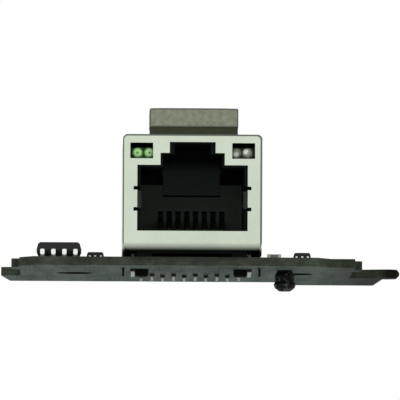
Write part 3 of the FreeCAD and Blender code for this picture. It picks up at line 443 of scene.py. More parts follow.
    def vias(self) -> Group:
        """Make small round dots scattered over a face, by their mean step and their radius.

        Returns:
            The group.
        """
        tree, inputs = self.start("via_dots", Step=1.7 * MM, Radius=0.2 * MM)
        scale = tree.per_metre(inputs["Step"])
        flat = {"voronoi_dimensions": "2D"}
        cells = tree.node("ShaderNodeTexVoronoi", flat, Vector=tree.place(), Scale=scale, Randomness=0.9)
        away = tree.maths("MULTIPLY", cells.outputs["Distance"], inputs["Step"])
        return self.end(tree, tree.soft_step(tree.maths("SUBTRACT", inputs["Radius"], away), self.SOFT))

    def weave(self) -> Group:
        """Make a plain weave of fine yarns, by their pitch and their depth.

        Returns:
            The group.
        """
        tree, inputs = self.start("plain_weave", Pitch=0.2 * MM, Depth=0.4)
        waves = [tree.wave(side, inputs["Pitch"]) for side in tree.split(tree.place())]
        pairs = [tree.maths("MULTIPLY", waves[a], waves[b]) for a, b in ((0, 1), (0, 2), (1, 2))]
        total = tree.maths("ADD", tree.maths("ADD", pairs[0], pairs[1]), pairs[2])
        return self.end(tree, tree.maths("MULTIPLY_ADD", total, inputs["Depth"], 0.5, clamp=True))


class Coat(Tree):
    """The tree of a material, with its shader, its grain and the shared effects at hand."""

    def __init__(self, name: str, grain: float, effects: Effects) -> None:
        """Start a material.

        Args:
            name: Name of the material.
            grain: Size of its grain.
            effects: The shared shader groups.
        """
        self.material = bpy.data.materials.new(name)
        self.material.use_nodes = True
        super().__init__(self.material.node_tree)
        self.shader = self.tree.nodes["Principled BSDF"]
        self.effects = effects
        self.grain = self.put(Effects.grain, Size=grain)

    def put(self, effect: Callable[[Effects], Group], **feeds: Feed) -> Socket:
        """Place one effect in the material and return the socket of its mask."""
        group = self.effects.group(effect)
        return self.node("ShaderNodeGroup", {"node_tree": group}, **feeds).outputs["Mask"]


# Finishes


@dataclass(frozen=True)
class Finish:
    """A surface with grain, broad patches and uneven gloss.

    Attributes:
        name: Name of the material.
        colour: Main colour.
        patch: Colour of the broad patches.
        gloss: Roughness where it is smoothest and where it is roughest.
        metal: Whether it is bare metal.
        grain: Size of the grain.
        bump: Strength of the grain as relief.
        blotch: Size of the patches.
        shine: Specular level of what isn't metal.
    """

    name: str
    colour: Colour
    patch: Colour
    gloss: Pair
    metal: bool = False
    grain: float = 0.12 * MM
    bump: float = 0.15
    blotch: float = 3.0 * MM
    shine: float = 0.35

    def material(self, effects: Effects) -> bpy.types.Material:
        """Find the finish's material.

        Args:
            effects: The shared shader groups and materials.

        Returns:
            The material, built at its first use.
        """
        if self not in effects.materials:
            effects.materials[self] = self.mixed(effects)
        return effects.materials[self]

    def mixed(self, effects: Effects) -> bpy.types.Material:
        """Build the material.

        Args:
            effects: The shared shader groups.

        Returns:
            The new material.
        """
        coat = Coat(self.name, self.grain, effects)
        coat.feed(coat.shader, "Metallic", float(self.metal))
        coat.feed(coat.shader, "Specular IOR Level", self.shine)
        coat.feed(coat.shader, "Base Color", self.colours(coat))
        coat.feed(coat.shader, "Roughness", coat.between(coat.grain, *self.gloss))
        height = self.relief(coat)
        bump = coat.node("ShaderNodeBump", Height=height, Strength=self.bump, Distance=BUMP_DEPTH)
        coat.feed(coat.shader, "Normal", bump.outputs[0])
        self.adjust(coat)
        return coat.material

    def colours(self, coat: Coat) -> Socket:
        """Return the colour's socket: the main colour with patches of the second one."""
        broad = coat.put(Effects.blotch, Size=self.blotch)
        return coat.blend(coat.maths("MULTIPLY", broad, coat.grain, clamp=True), self.colour, self.patch)

    def relief(self, coat: Coat) -> Socket:
        """Return the relief's socket, which is the grain alone."""
        return coat.grain

    def adjust(self, coat: Coat) -> None:
        """Change the finished shader, which a plain finish leaves as it is."""


@dataclass(frozen=True)
class StainedFinish(Finish):
    """Bright metal with painted shade that darkens it towards the board, and a painted dark reflection at the
    bends of a face.

    Attributes:
        stain: Colour of the painted shade near the board.
        clean: Height above which the metal shows its own colour.
        foul: Height below which it is all painted shade.
        rim: Colour of the painted dark reflection at the outer bends of a face.
        middle: Centre of the bright part of the face.
        half: Half width and half height of that part.
        corner: Radius of its corners.
        depth: How far the painted dark reflection goes back round the bends, or 0 for none.
    """

    stain: Colour = srgb(26, 28, 24)
    clean: float = 2.3 * MM
    foul: float = 1.6 * MM
    rim: Colour = srgb(90, 96, 88)
    middle: Point = ORIGIN
    half: Pair = (FAR, FAR)
    corner: float = 0.45 * MM
    depth: float = 0.0

    def colours(self, coat: Coat) -> Socket:
        """Paint a dark reflection on the metal's bends and painted shade towards the board.

        Args:
            coat: The material's tree.

        Returns:
            The colour's socket.
        """
        metal = super().colours(coat)
        if self.depth:
            metal = coat.blend(self.band(coat), metal, self.rim)
        return coat.blend(coat.ramp(coat.along(Axis.Z), self.foul, self.clean), self.stain, metal)

    def band(self, coat: Coat) -> Socket:
        """Find the painted dark reflection round the face.

        Args:
            coat: The material's tree.

        Returns:
            The mask of the band.
        """
        wide, high = self.half
        front = coat.put(Effects.slab, Centre=self.middle, Half=(FAR, self.depth, FAR))
        bright = coat.put(Effects.slab, Centre=self.middle, Half=(wide, FAR, high), Round=self.corner)
        return coat.maths("SUBTRACT", front, bright, clamp=True)


@dataclass(frozen=True)
class PortFinish(Finish):
    """Black moulding with painted light on the wall at the back of the port, which shows lighter than its
    sides.

    Attributes:
        wall: Colour of the painted light on that wall.
        middle: Centre of the wall.
        half: Half sizes of the wall.
        soft: Width of its soft edge.
    """

    wall: Colour = srgb(52, 60, 55)
    middle: Point = ORIGIN
    half: Point = (MM, MM, MM)
    soft: float = 1.4 * MM

    def colours(self, coat: Coat) -> Socket:
        """Return the moulding's colour with the painted light on the wall."""
        back = coat.put(Effects.slab, Centre=self.middle, Half=self.half, Soft=self.soft)
        return coat.blend(back, super().colours(coat), self.wall)


@dataclass(frozen=True)
class LeadFinish(Finish):
    """Tinned chip leads, bright only in a rounded spot at the bend, a painted highlight, with painted shade
    round it.

    Attributes:
        stain: Colour of the painted shade round the highlight.
        bends: Centres of the bright spots, the painted highlights.
        half: Half width, depth and height of a bright part.
        corner: Radius of its corners.
        soft: Width of its soft edge.
    """

    stain: Colour = srgb(34, 38, 33)
    bends: tuple[Point, ...] = ()
    half: Point = (MM, MM, MM)
    corner: float = 0.2 * MM
    soft: float = 0.1 * MM

    def colours(self, coat: Coat) -> Socket:
        """Keep the tin's colour in a painted highlight at each bend and paint shade over what lies round
        them.

        Args:
            coat: The material's tree.

        Returns:
            The colour's socket.
        """
        shape = {"Half": self.half, "Round": self.corner, "Soft": self.soft}
        bright = coat.highest([coat.put(Effects.slab, Centre=centre, **shape) for centre in self.bends])
        return coat.blend(bright, self.stain, super().colours(coat))


@dataclass(frozen=True)
class ScuffedFinish(Finish):
    """Dark rubber with small pale painted glints, standing in for highlights.

    Attributes:
        scuff: Colour of the painted glints.
        spread: Size of a glint.
        hard: How hard the edges of the glints are.
        rarity: How few glints there are, as a power.
    """

    scuff: Colour = srgb(76, 80, 75)
    spread: float = 0.5 * MM
    hard: float = 5.0
    rarity: float = 14.0

    def scuffs(self, coat: Coat) -> Socket:
        """Return the mask of the painted glints."""
        spots = coat.put(Effects.blotch, Size=self.spread, Contrast=self.hard)
        return coat.maths("POWER", spots, self.rarity)

    def colours(self, coat: Coat) -> Socket:
        """Return the rubber's colour with its painted glints."""
        return coat.blend(self.scuffs(coat), super().colours(coat), self.scuff)

    def relief(self, coat: Coat) -> Socket:
        """Return the grain with the painted glint spots raised as relief."""
        return coat.maths("ADD", self.scuffs(coat), coat.grain)


@dataclass(frozen=True)
class CappedFinish(Finish):
    """A chip part: a ceramic body between two tinned ends.

    Attributes:
        cap: Colour of the tinned ends.
        middle: Centre of the ceramic body.
        half: Half sizes of the ceramic body.
    """

    cap: Colour = srgb(180, 182, 176)
    middle: Point = ORIGIN
    half: Point = (MM, MM, MM)

    def body(self, coat: Coat) -> Socket:
        """Return the mask of the ceramic body."""
        return coat.put(Effects.slab, Centre=self.middle, Half=self.half)

    def colours(self, coat: Coat) -> Socket:
        """Return the ceramic's colour, and the cap's outside the body."""
        return coat.blend(self.body(coat), self.cap, super().colours(coat))

    def adjust(self, coat: Coat) -> None:
        """Make the caps metal."""
        bare = coat.maths("SUBTRACT", 1.0, self.body(coat))
        coat.feed(coat.shader, "Metallic", coat.maths("MULTIPLY", bare, TINNED))


@dataclass(frozen=True)
class LensFinish(Finish):
    """Cast lens of an indicator light, dark between its domes, with painted light in each dome: a lighter
    dome with a painted highlight.

    Attributes:
        domes: Centres of the two domes.
        radius: Radius of a dome.
        rim: Colour of a dome out to its edge, partly the lens's tint and partly painted light that makes it
            lighter than the body.
        glow: Colour of the painted highlight, a ring or spot in a dome.
        eye: Colour of the die in the middle of a dome.
        whole: Mean radius and width of a ring that fills the dome, as shares of the dome's radius.
        bright: The same for the painted highlight.
        eye_width: Width of the eye, as a share of the dome's radius.
        shifts: How far the painted highlight lies off the middle of each dome, across and up.
        shares: How strongly the painted light shows in each dome.
        soft: Width of the soft edges.
        skin: Weight and roughness of the clear outer skin.
    """

    domes: tuple[Point, ...] = ()
    radius: float = 0.65 * MM
    rim: Colour = srgb(112, 164, 94)
    glow: Colour = srgb(174, 222, 152)
    eye: Colour = srgb(62, 108, 50)
    whole: Pair = (0.0, 2.0)
    bright: Pair = (0.5, 0.6)
    eye_width: float = 0.34
    shifts: tuple[Pair, ...] = ((0.0, 0.0), (0.0, 0.0))
    shares: Pair = (1.0, 1.0)
    soft: float = 0.16 * MM
    skin: Pair = (0.06, 0.06)

    def colours(self, coat: Coat) -> Socket:
        """Paint each dome lighter than the dark body, with a painted highlight and a dark eye at its centre.

        Args:
            coat: The material's tree.

        Returns:
            The colour's socket.
        """
        shown = super().colours(coat)
        for (x, y, z), share, (across, up) in zip(self.domes, self.shares, self.shifts):
            marks = (
                ((x, y, z), *self.whole, self.rim),
                ((x + across, y, z + up), *self.bright, self.glow),
                ((x, y, z), 0.0, self.eye_width, self.eye),
            )
            for centre, radius, width, tint in marks:
                size = {"Radius": radius * self.radius, "Width": width * self.radius, "Soft": self.soft}
                mask = coat.put(Effects.ring, Centre=centre, **size)
                shown = coat.blend(coat.maths("MULTIPLY", mask, share), shown, tint)
        return shown

    def adjust(self, coat: Coat) -> None:
        """Give the lens a clear outer skin."""
        for name, value in zip(("Coat Weight", "Coat Roughness"), self.skin):
            coat.feed(coat.shader, name, value)


@dataclass(frozen=True)
class WoundFinish(Finish):
    """Fine enamelled wire wound round a ring core.

    Attributes:
        centre: Centre of the ring.
        turns: How many turns show round the ring.
    """

    centre: Point = ORIGIN
    turns: float = 30.0

    def relief(self, coat: Coat) -> Socket:
        """Make ridges that run round the ring's section.

        Args:
            coat: The material's tree.

        Returns:
            The relief's socket.
        """
        off_x, off_y, _ = coat.split(coat.vector("SUBTRACT", coat.place(), self.centre))
        angle = coat.maths("ARCTAN2", off_y, off_x)
        return coat.maths("SINE", coat.maths("MULTIPLY", angle, self.turns))


@dataclass(frozen=True)
class WovenFinish(Finish):
    """Conductive cloth: a fine plain weave with a metal sheen.

    Attributes:
        yarn: Pitch of the yarns.
        deep: Colour between the yarns.
    """

    yarn: float = 0.22 * MM
    deep: Colour = srgb(112, 115, 100)

    def weave(self, coat: Coat) -> Socket:
        """Return the mask of the raised yarns."""
        return coat.put(Effects.weave, Pitch=self.yarn)

    def colours(self, coat: Coat) -> Socket:
        """Return the cloth's colour, darker between the yarns."""
        lit = coat.maths("MULTIPLY", self.weave(coat), coat.grain, clamp=True)
        return coat.blend(lit, self.deep, super().colours(coat))

    def relief(self, coat: Coat) -> Socket:
        """Return the weave as relief."""
        return coat.maths("ADD", self.weave(coat), coat.grain)


@dataclass(frozen=True)
class PrintedFrame:
    """A printed frame on the upper face of the board.

    Attributes:
        centre: Its centre.
        half: Its half sizes.
    """

    centre: Point
    half: Point

    def mask(self, coat: Coat) -> Socket:
        """Return the mask of the frame."""
        return coat.put(Effects.outline, Centre=self.centre, Half=self.half)


@dataclass(frozen=True)
class RingRow:
    """A row of equal rings along X on the board.

    Attributes:
        first: Centre of the first ring.
        count: Rings in the row.
        pitch: Step from ring to ring.
        radius: Mean radius of a ring.
        width: Width of a ring.
    """

    first: Point
    count: int
    pitch: float
    radius: float
    width: float

    def mask(self, coat: Coat) -> Socket:
        """Return the mask of the row."""
        row = {"First": self.first, "Pitch": self.pitch, "Last": float(self.count - 1)}
        return coat.put(Effects.ring_row, **row, Radius=self.radius, Width=self.width)

    def places(self) -> list[Vector]:
        """Return the centres of the rings."""
        return [Vector(self.first) + Vector((self.pitch * step, 0, 0)) for step in range(self.count)]


@dataclass(frozen=True)
class BoardFinish(Finish):
    """Printed board: masked faces with copper under them, bare laminate at the edges.

    Attributes:
        laminate: Colour of the cut edge.
        fibre: Colour of the glass layers that show in the edge.
        layers: How often the layers' noise repeats in a metre along each axis.
        tent: Colour of a via under the mask.
        tent_share: How strongly a via shows.
        print_colour: Colour of the printed frames.
        bare: Colour of the tinned rings.
        haze: Colour of the pale mottled film.
        film: How strong that film is on the underside and on the upper face; the stronger film underneath is
            painted light.
        streak: How the film is drawn out along each axis.
        tip: Where the painted shade at the end of the finger begins and where it is full.
        scorch: Colour of that painted shade.
        dusk: Where the painted shade on the underside begins, towards the finger, and where it is full.
        edge_dusk: How much of that painted shade the cut edge takes.
        gloom: Colour of the painted shade on the underside.
        bore: Colour of the painted shade on the walls of the mounting holes.
        relief_grain: Share of the grain in the relief.
        frames: Printed frames on the upper face.
        rings: Tinned rings on both faces.
        holes: Rings that take in the walls of the mounting holes, which get painted shade.
    """

    laminate: Colour = srgb(42, 48, 39)
    fibre: Colour = srgb(84, 92, 79)
    layers: Point = (600.0, 600.0, 5000.0)
    tent: Colour = srgb(30, 36, 32)
    tent_share: float = 0.7
    print_colour: Colour = srgb(196, 200, 190)
    bare: Colour = srgb(104, 110, 102)
    haze: Colour = srgb(124, 138, 132)
    film: Pair = (0.3, 0.16)
    streak: Point = (1.0, 0.12, 1.0)
    tip: Pair = (23.2 * MM, 24.1 * MM)
    scorch: Colour = srgb(18, 18, 12)
    dusk: Pair = (15.0 * MM, 22.5 * MM)
    edge_dusk: float = 0.45
    gloom: Colour = srgb(4, 12, 9)
    bore: Colour = srgb(16, 19, 16)
    relief_grain: float = 0.3
    frames: tuple[PrintedFrame, ...] = ()
    rings: tuple[RingRow, ...] = ()
    holes: tuple[RingRow, ...] = ()

    def faces(self, coat: Coat) -> Sequence[Socket]:
        """Return the masks of both faces and of the upper face alone."""
        upward = coat.split(coat.node("ShaderNodeNewGeometry").outputs["Normal"])[Axis.Z.value]
        return [coat.maths("GREATER_THAN", side, FACING) for side in (coat.maths("ABSOLUTE", upward), upward)]

    def bare_rings(self, coat: Coat) -> Socket:
        """Return the mask of every tinned ring."""
        rings = coat.highest([row.mask(coat) for row in self.rings])
        return coat.maths("MULTIPLY", rings, self.faces(coat)[0])

    def masked(self, coat: Coat, upper: Socket) -> Socket:
        """Paint the solder mask over copper, with its mottled film, partly painted light, and its vias.

        Args:
            coat: The material's tree.
            upper: Mask of the upper face.

        Returns:
            The colour's socket.
        """
        mask = coat.blend(coat.put(Effects.copper), super().colours(coat), self.patch)
        film = coat.put(Effects.blotch, Size=3.0 * MM, Contrast=4.0, Shift=13.0 * MM, Squeeze=self.streak)
        film = coat.maths("MULTIPLY", film, coat.between(upper, *self.film))
        mask = coat.blend(film, mask, self.haze)
        return coat.blend(coat.maths("MULTIPLY", coat.put(Effects.vias), self.tent_share), mask, self.tent)

    def edge(self, coat: Coat, dusk: Socket) -> Socket:
        """Paint the cut edge with its glass layers, painted shade towards the finger and at its end, and
        painted shade on the holes' walls.

        Args:
            coat: The material's tree.
            dusk: Mask of the painted shade towards the finger.

        Returns:
            The colour's socket.
        """
        cells = coat.vector("MULTIPLY", coat.place(), self.layers)
        layers = coat.node("ShaderNodeTexNoise", Vector=cells, Scale=1.0).outputs[0]
        worn = coat.put(Effects.blotch, Size=1.6 * MM, Contrast=2.6)
        edge = coat.blend(coat.maths("MULTIPLY", layers, worn), self.laminate, self.fibre)
        edge = coat.blend(coat.maths("MULTIPLY", dusk, self.edge_dusk), edge, self.gloom)
        edge = coat.blend(coat.ramp(coat.along(Axis.X), *self.tip), edge, self.scorch)
        return coat.blend(coat.highest([row.mask(coat) for row in self.holes]), edge, self.bore)

    def colours(self, coat: Coat) -> Socket:
        """Paint the mask, the rings, the print, the painted shade on the underside towards the finger and the
        cut edge.

        Args:
            coat: The material's tree.

        Returns:
            The colour's socket.
        """
        both, upper = self.faces(coat)
        shown = coat.blend(self.bare_rings(coat), self.masked(coat, upper), self.bare)
        for frame in self.frames:
            line = coat.maths("MULTIPLY", frame.mask(coat), upper)
            shown = coat.blend(line, shown, self.print_colour)
        dusk = coat.ramp(coat.along(Axis.X), *self.dusk)
        under = coat.maths("SUBTRACT", both, upper)
        shown = coat.blend(coat.maths("MULTIPLY", under, dusk), shown, self.gloom)
        return coat.blend(both, self.edge(coat, dusk), shown)

    def relief(self, coat: Coat) -> Socket:
        """Return the step at the edges of the copper, with a little grain."""
        return coat.maths("MULTIPLY_ADD", coat.grain, self.relief_grain, coat.put(Effects.copper))

    def adjust(self, coat: Coat) -> None:
        """Make the tinned rings metal."""
        coat.feed(coat.shader, "Metallic", coat.maths("MULTIPLY", self.bare_rings(coat), TINNED))


class Palette:
    """Finishes of the card, the plain ones by the record's slot that each is for."""

    PLAIN = (
        # Tinned sheet, painted darker towards the board as painted shade
        StainedFinish(
            "tin_sheet", srgb(204, 214, 197), srgb(180, 191, 174), (0.30, 0.44),
            metal=True, grain=0.25 * MM, bump=0.04, blotch=5 * MM,
        ),
        Finish(
            "gold_plating", srgb(212, 172, 92), srgb(196, 150, 74), (0.22, 0.36),
            metal=True, grain=0.1 * MM, bump=0.05,
        ),
        Finish("comb_moulding", srgb(46, 55, 49), srgb(58, 68, 61), (0.45, 0.62), shine=0.1),
        # Contact wires: their gold is painted dark brown, standing in for the shade deep in the port
        Finish(
            "contact_wire", srgb(58, 52, 38), srgb(44, 40, 30), (0.3, 0.45),
            metal=True, grain=0.06 * MM, bump=0.05,
        ),
        Finish("carrier_laminate", srgb(92, 104, 62), srgb(76, 88, 54), (0.45, 0.6)),
        Finish("ferrite", srgb(52, 50, 50), srgb(66, 63, 62), (0.5, 0.7), grain=0.08 * MM, bump=0.3),
        Finish(
            "tinned_lead", srgb(226, 229, 222), srgb(182, 185, 177), (0.3, 0.5),
            metal=True, grain=0.08 * MM, bump=0.08, blotch=0.8 * MM,
        ),
        WovenFinish("conductive_cloth", srgb(150, 154, 135), srgb(130, 134, 117), (0.5, 0.7), bump=0.5),
        Finish(
            "adhesive_base", srgb(54, 57, 40), srgb(40, 43, 31), (0.6, 0.8),
            grain=0.1 * MM, bump=0.3, shine=0.15,
        ),
        Finish(
            "chip_mould", srgb(24, 26, 25), srgb(36, 39, 38), (0.5, 0.66),
            grain=0.07 * MM, bump=0.25, shine=0.18,
        ),
        Finish("crystal_ceramic", srgb(58, 54, 50), srgb(70, 66, 60), (0.5, 0.65)),
        Finish(
            "crystal_metal", srgb(206, 204, 194), srgb(180, 178, 168), (0.24, 0.38),
            metal=True, grain=0.05 * MM, bump=0.06,
        ),
        # Rubber foot, with painted glints standing in for highlights
        ScuffedFinish(
            "foot_rubber", srgb(11, 13, 13), srgb(20, 24, 23), (0.4, 0.62),
            grain=0.3 * MM, bump=0.5, blotch=1 * MM, shine=0.1,
        ),
    )
    BY_SLOT = {finish.name: finish for finish in PLAIN}
    # Black moulding, with painted light on the wall at the back of the port
    MOULDING = PortFinish("black_moulding", srgb(12, 14, 13), srgb(19, 22, 20), (0.45, 0.65), shine=0.03)
    PAD = {
        PadLayer.CLOTH: BY_SLOT["conductive_cloth"],
        PadLayer.FOAM: Finish(
            "cut_foam", srgb(144, 148, 130), srgb(66, 70, 60), (0.75, 0.9),
            grain=0.2 * MM, bump=0.8, blotch=0.6 * MM, shine=0.2,
        ),
        PadLayer.CUT_EDGE: Finish(
            "cut_cloth", srgb(92, 95, 85), srgb(70, 72, 65), (0.6, 0.8), grain=0.08 * MM, bump=0.4
        ),
    }
    # Chip leads: painted shade with a painted highlight at each bend
    CHIP_LEAD = LeadFinish(
        "chip_lead", srgb(244, 246, 240), srgb(214, 217, 210), (0.26, 0.42),
        metal=True, grain=0.08 * MM, bump=0.08, blotch=0.8 * MM,
    )
    # Solder fillets, painted darker near the board as painted shade
    SOLDER = StainedFinish(
        "solder", srgb(206, 208, 202), srgb(160, 163, 156), (0.2, 0.36),
        metal=True, grain=0.15 * MM, bump=0.12, blotch=0.6 * MM,
        stain=srgb(44, 47, 41), clean=1.3 * MM, foul=1.05 * MM,
    )
    # Joints round the pins, painted dark as a painted dark reflection at the pins' bases
    FLUX = Finish(
        "dark_reflection_joint", srgb(30, 34, 29), srgb(62, 66, 58), (0.3, 0.5),
        metal=True, grain=0.15 * MM, bump=0.2, blotch=0.5 * MM,
    )
    # Lenses: each dome painted lighter than the body, with a painted highlight
    LENSES = {
        Hand.LEFT: LensFinish("green_lens", srgb(24, 60, 18), srgb(36, 84, 28), (0.2, 0.3), shine=0.05),
        Hand.RIGHT: LensFinish(
            "clear_lens", srgb(34, 37, 32), srgb(58, 60, 55), (0.2, 0.3), shine=0.05,
            rim=srgb(146, 151, 138), glow=srgb(228, 232, 224), eye=srgb(150, 155, 142), bright=(0.0, 0.9),
            shifts=((0.0, -0.2 * MM), (-0.24 * MM, 0.16 * MM)), shares=(0.66, 0.95),
        ),
    }
    CHIP_PARTS = {
        "capacitor": CappedFinish("capacitor", srgb(128, 128, 118), srgb(112, 112, 104), (0.4, 0.55)),
        "resistor": CappedFinish("resistor", srgb(30, 31, 31), srgb(44, 45, 45), (0.3, 0.5)),
    }
    WINDING = WoundFinish("magnet_wire", srgb(150, 84, 40), srgb(120, 62, 28), (0.25, 0.4), bump=0.9)
    # Board, with painted shade towards the finger, at its tip and on the walls of the mounting holes
    BOARD = BoardFinish("board_mask", srgb(22, 36, 29), srgb(68, 87, 76), (0.5, 0.65), shine=0.035)


# Modelling by hand


@dataclass(frozen=True)
class Spot:
    """Where one copy of a piece goes.

    Attributes:
        place: Its place.
        turn: Degrees that it is turned about Z.
        scale: Its size on each axis.
    """

    place: Vector
    turn: float = 0.0
    scale: Point = (1.0, 1.0, 1.0)


class Bench:
    """Hand modelling on one object at a time."""

    @staticmethod
    def clear() -> None:
        """Deselect everything."""
        bpy.ops.object.select_all(action="DESELECT")

    @staticmethod
    def take(piece: Piece) -> None:
        """Select one object alone and make it the active one.

        Args:
            piece: The object.
        """
        Bench.clear()
        piece.select_set(True)
        bpy.context.view_layer.objects.active = piece

    @staticmethod
    @contextmanager
    def editing(piece: Piece, select: str = "FACE") -> Iterator[Mesh]:
        """Open an object in edit mode with nothing selected.

        Args:
            piece: The object.
            select: What is selected there, FACE or EDGE.

        Yields:
            Its mesh as it is edited.
        """
        Bench.take(piece)
        bpy.ops.object.mode_set(mode="EDIT")
        bpy.ops.mesh.select_mode(type=select)
        bpy.ops.mesh.select_all(action="DESELECT")
        yield bmesh.from_edit_mesh(piece.data)
        bpy.ops.object.mode_set(mode="OBJECT")

    @staticmethod
    def pick_faces(piece: Piece, mesh: Mesh, test: Callable[[bmesh.types.BMFace], bool]) -> None:
        """Select the faces that pass a test.

        Args:
            piece: The object in edit mode, which selects faces.
            mesh: Its mesh.
            test: Says whether a face is wanted.
        """
        for face in mesh.faces:
            face.select_set(test(face))
        mesh.select_flush_mode()
        bmesh.update_edit_mesh(piece.data)

    @staticmethod
    def pick_edges(piece: Piece, mesh: Mesh, test: Callable[[bmesh.types.BMEdge, Vector], bool]) -> None:
        """Select the edges that pass a test.

        Args:
            piece: The object in edit mode, which selects edges.
            mesh: Its mesh.
            test: Says whether an edge with this middle is wanted.
        """
        for edge in mesh.edges:
            edge.select_set(test(edge, (edge.verts[0].co + edge.verts[1].co) / 2))
        bmesh.update_edit_mesh(piece.data)

    @staticmethod
    def smooth(degrees: float) -> None:
        """Shade the active piece smooth where its faces meet at less than an angle."""
        bpy.ops.object.shade_smooth_by_angle(angle=math.radians(degrees))

    @staticmethod
    def settle(piece: Piece, name: str) -> Piece:
        """Name an object and put its place, turn and size into its mesh.

        Args:
            piece: The object.
            name: Its new name.

        Returns:
            The same object.
        """
        Bench.take(piece)
        bpy.ops.object.transform_apply(location=True, rotation=True, scale=True)
        piece.name = piece.data.name = name
        return piece

    @staticmethod
    def copies(piece: Piece, spots: Sequence[Spot], name: str) -> Piece:
        """Copy a piece modelled at the origin to each spot, and join the copies.

        Args:
            piece: The piece, which is used up.
            spots: Where the copies go, at least two.
            name: Name of the joined piece.

        Returns:
            The joined piece.
        """
        made = []
        for spot in spots:
            Bench.take(piece)
            bpy.ops.object.duplicate(linked=False)
            copy = bpy.context.active_object
            copy.location, copy.scale = spot.place, spot.scale
            copy.rotation_euler.z = math.radians(spot.turn)
            bpy.ops.object.transform_apply(location=True, rotation=True, scale=True)
            made.append(copy)
        Bench.clear()
        for copy in made:
            copy.select_set(True)
        bpy.context.view_layer.objects.active = made[0]
        bpy.ops.object.join()
        bpy.data.objects.remove(piece)
        return Bench.settle(made[0], name)

    @staticmethod
    def wear(piece: Piece, slot: str, *materials: bpy.types.Material) -> None:
        """Give a new piece its materials, and let it ride on the card.

        Args:
            piece: The new piece.
            slot: The record's material slot; not used.
            *materials: Its materials, if it has none yet.
        """
        for material in materials:
            piece.data.materials.append(material)
        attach(piece, BODY)
        LOG.info("piece %s: %d faces", piece.name, len(piece.data.polygons))


class Node:
    """Measures and dresses the carried-over CAD nodes."""

    @staticmethod
    def middle(name: str) -> Vector:
        """Return the centre of a node's box."""
        low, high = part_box(name)
        return (low + high) / 2

    @staticmethod
    def half(name: str) -> Vector:
        """Return the half sizes of a node's box."""
        low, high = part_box(name)
        return (high - low) / 2

    @staticmethod
    def dress(node: Piece, material: bpy.types.Material) -> None:
        """Put one material in every slot of a node.

        Args:
            node: The node's object.
            material: What it wears.
        """
        if not node.material_slots:
            node.data.materials.append(material)
        for place in node.material_slots:
            place.material = material
        LOG.info("node %s wears %s", node.name, material.name)


# Sub-assemblies


@dataclass
class PrintedBoard:
    """The board with its printed frames and tinned rings.

    Attributes:
        pins: Jack pins in each of the two staggered rows.
        pin_pitch: Step of the jack's pins.
        pad_radius: Mean radius of a pin's tinned ring.
        pad_width: Width of that ring.
        hole_step: Distance between the mounting holes.
        hole_radius: Their radius.
        hole_wall: Width of the ring that takes in their walls, which get painted shade.
        margin: Room between a chip and its printed frame.
        framed: Nodes that have a printed frame.
    """

    pins: int = 5
    pin_pitch: float = 2.54 * MM
    pad_radius: float = 0.56 * MM
    pad_width: float = 0.32 * MM
    hole_step: float = 25.8 * MM
    hole_radius: float = 2.1 * MM
    hole_wall: float = 0.3 * MM
    margin: float = 0.35 * MM
    framed: tuple[str, ...] = (
        "flash_leads", "line_guard_left_leads", "line_guard_right_leads", "regulator_leads",
        "controller_chip", "crystal_base", "inductor_terminals",
    )

    def dress(self, nodes: Nodes, effects: Effects) -> None:
        """Give the board its finish.

        Args:
            nodes: The CAD nodes by name.
            effects: The shared shader groups.
        """
        left_hole = (-self.hole_step / 2, 0.0, 0.0)
        finish = replace(
            Palette.BOARD,
            frames=tuple(self.frame(name) for name in self.framed),
            rings=self.pin_rings(),
            holes=(RingRow(left_hole, 2, self.hole_step, self.hole_radius, self.hole_wall),),
        )
        Node.dress(nodes["board"], finish.material(effects))

    def frame(self, name: str) -> PrintedFrame:
        """Return the printed frame round a node."""
        middle, half = Node.middle(name), Node.half(name)
        return PrintedFrame((middle.x, middle.y, 0.0), (half.x + self.margin, half.y + self.margin, 0.0))

    def pin_rings(self) -> tuple[RingRow, ...]:
        """Lay out the tinned rings.

        Returns:
            The rows of rings round the jack's pins and the lights' leads.
        """
        low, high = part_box("signal_pins")
        stagger = self.pin_pitch / 2
        edge = (high.x - low.x - (self.pins - 1) * self.pin_pitch - stagger) / 2
        left, right = (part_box(f"{hand.light}_leads") for hand in Hand)
        half_lead = (left[1].x - left[0].x) / 2
        lead_x, lead_y = left[0].x + half_lead, left[1].y - half_lead
        step = right[0].x - left[0].x
        rows = (
            (low.x + edge + stagger, low.y + edge, self.pins, self.pin_pitch),
            (low.x + edge, high.y - edge, self.pins, self.pin_pitch),
            (lead_x, lead_y, len(Hand), step),
            (lead_x, lead_y - self.pin_pitch, len(Hand), step),
        )
        return tuple(
            RingRow((x, y, 0.0), count, pitch, self.pad_radius, self.pad_width) for x, y, count, pitch in rows
        )


@dataclass(frozen=True)
class LeadRow:
    """Leads along the front and the rear of a chip.

    Attributes:
        node: The leads' node.
        count: Leads in a row.
        pitch: Step from lead to lead.
        fillet: Width, length and height of the solder at a lead's toe.
        bend: Height above the board, half width and half height of a lead's bright spot, its painted
            highlight.
    """

    node: str
    count: int
    pitch: float
    fillet: Point
    bend: Point = (0.42 * MM, 0.19 * MM, 0.15 * MM)

    def places(self) -> list[float]:
        """Return where the leads stand along X."""
        middle = Node.middle(self.node).x
        return [middle + self.pitch * (step - (self.count - 1) / 2) for step in range(self.count)]

    def spots(self) -> list[Spot]:
        """Place the fillets of both rows.

        Returns:
            Where they go.
        """
        low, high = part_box(self.node)
        return [
            Spot(Vector((across, edge, low.z)), turn, self.fillet)
            for across in self.places()
            for edge, turn in ((low.y, 0.0), (high.y, 180.0))
        ]

    def finish(self) -> LeadFinish:
        """Make the finish of the leads.

        Returns:
            The finish, with a painted highlight at each bend of the front row and painted shade elsewhere.
        """
        height, wide, high = self.bend
        low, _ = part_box(self.node)
        bends = tuple((across, low.y, low.z + height) for across in self.places())
        shape = {"bends": bends, "half": (wide, FAR, high), "corner": min(wide, high)}
        return replace(Palette.CHIP_LEAD, name=self.node, **shape)


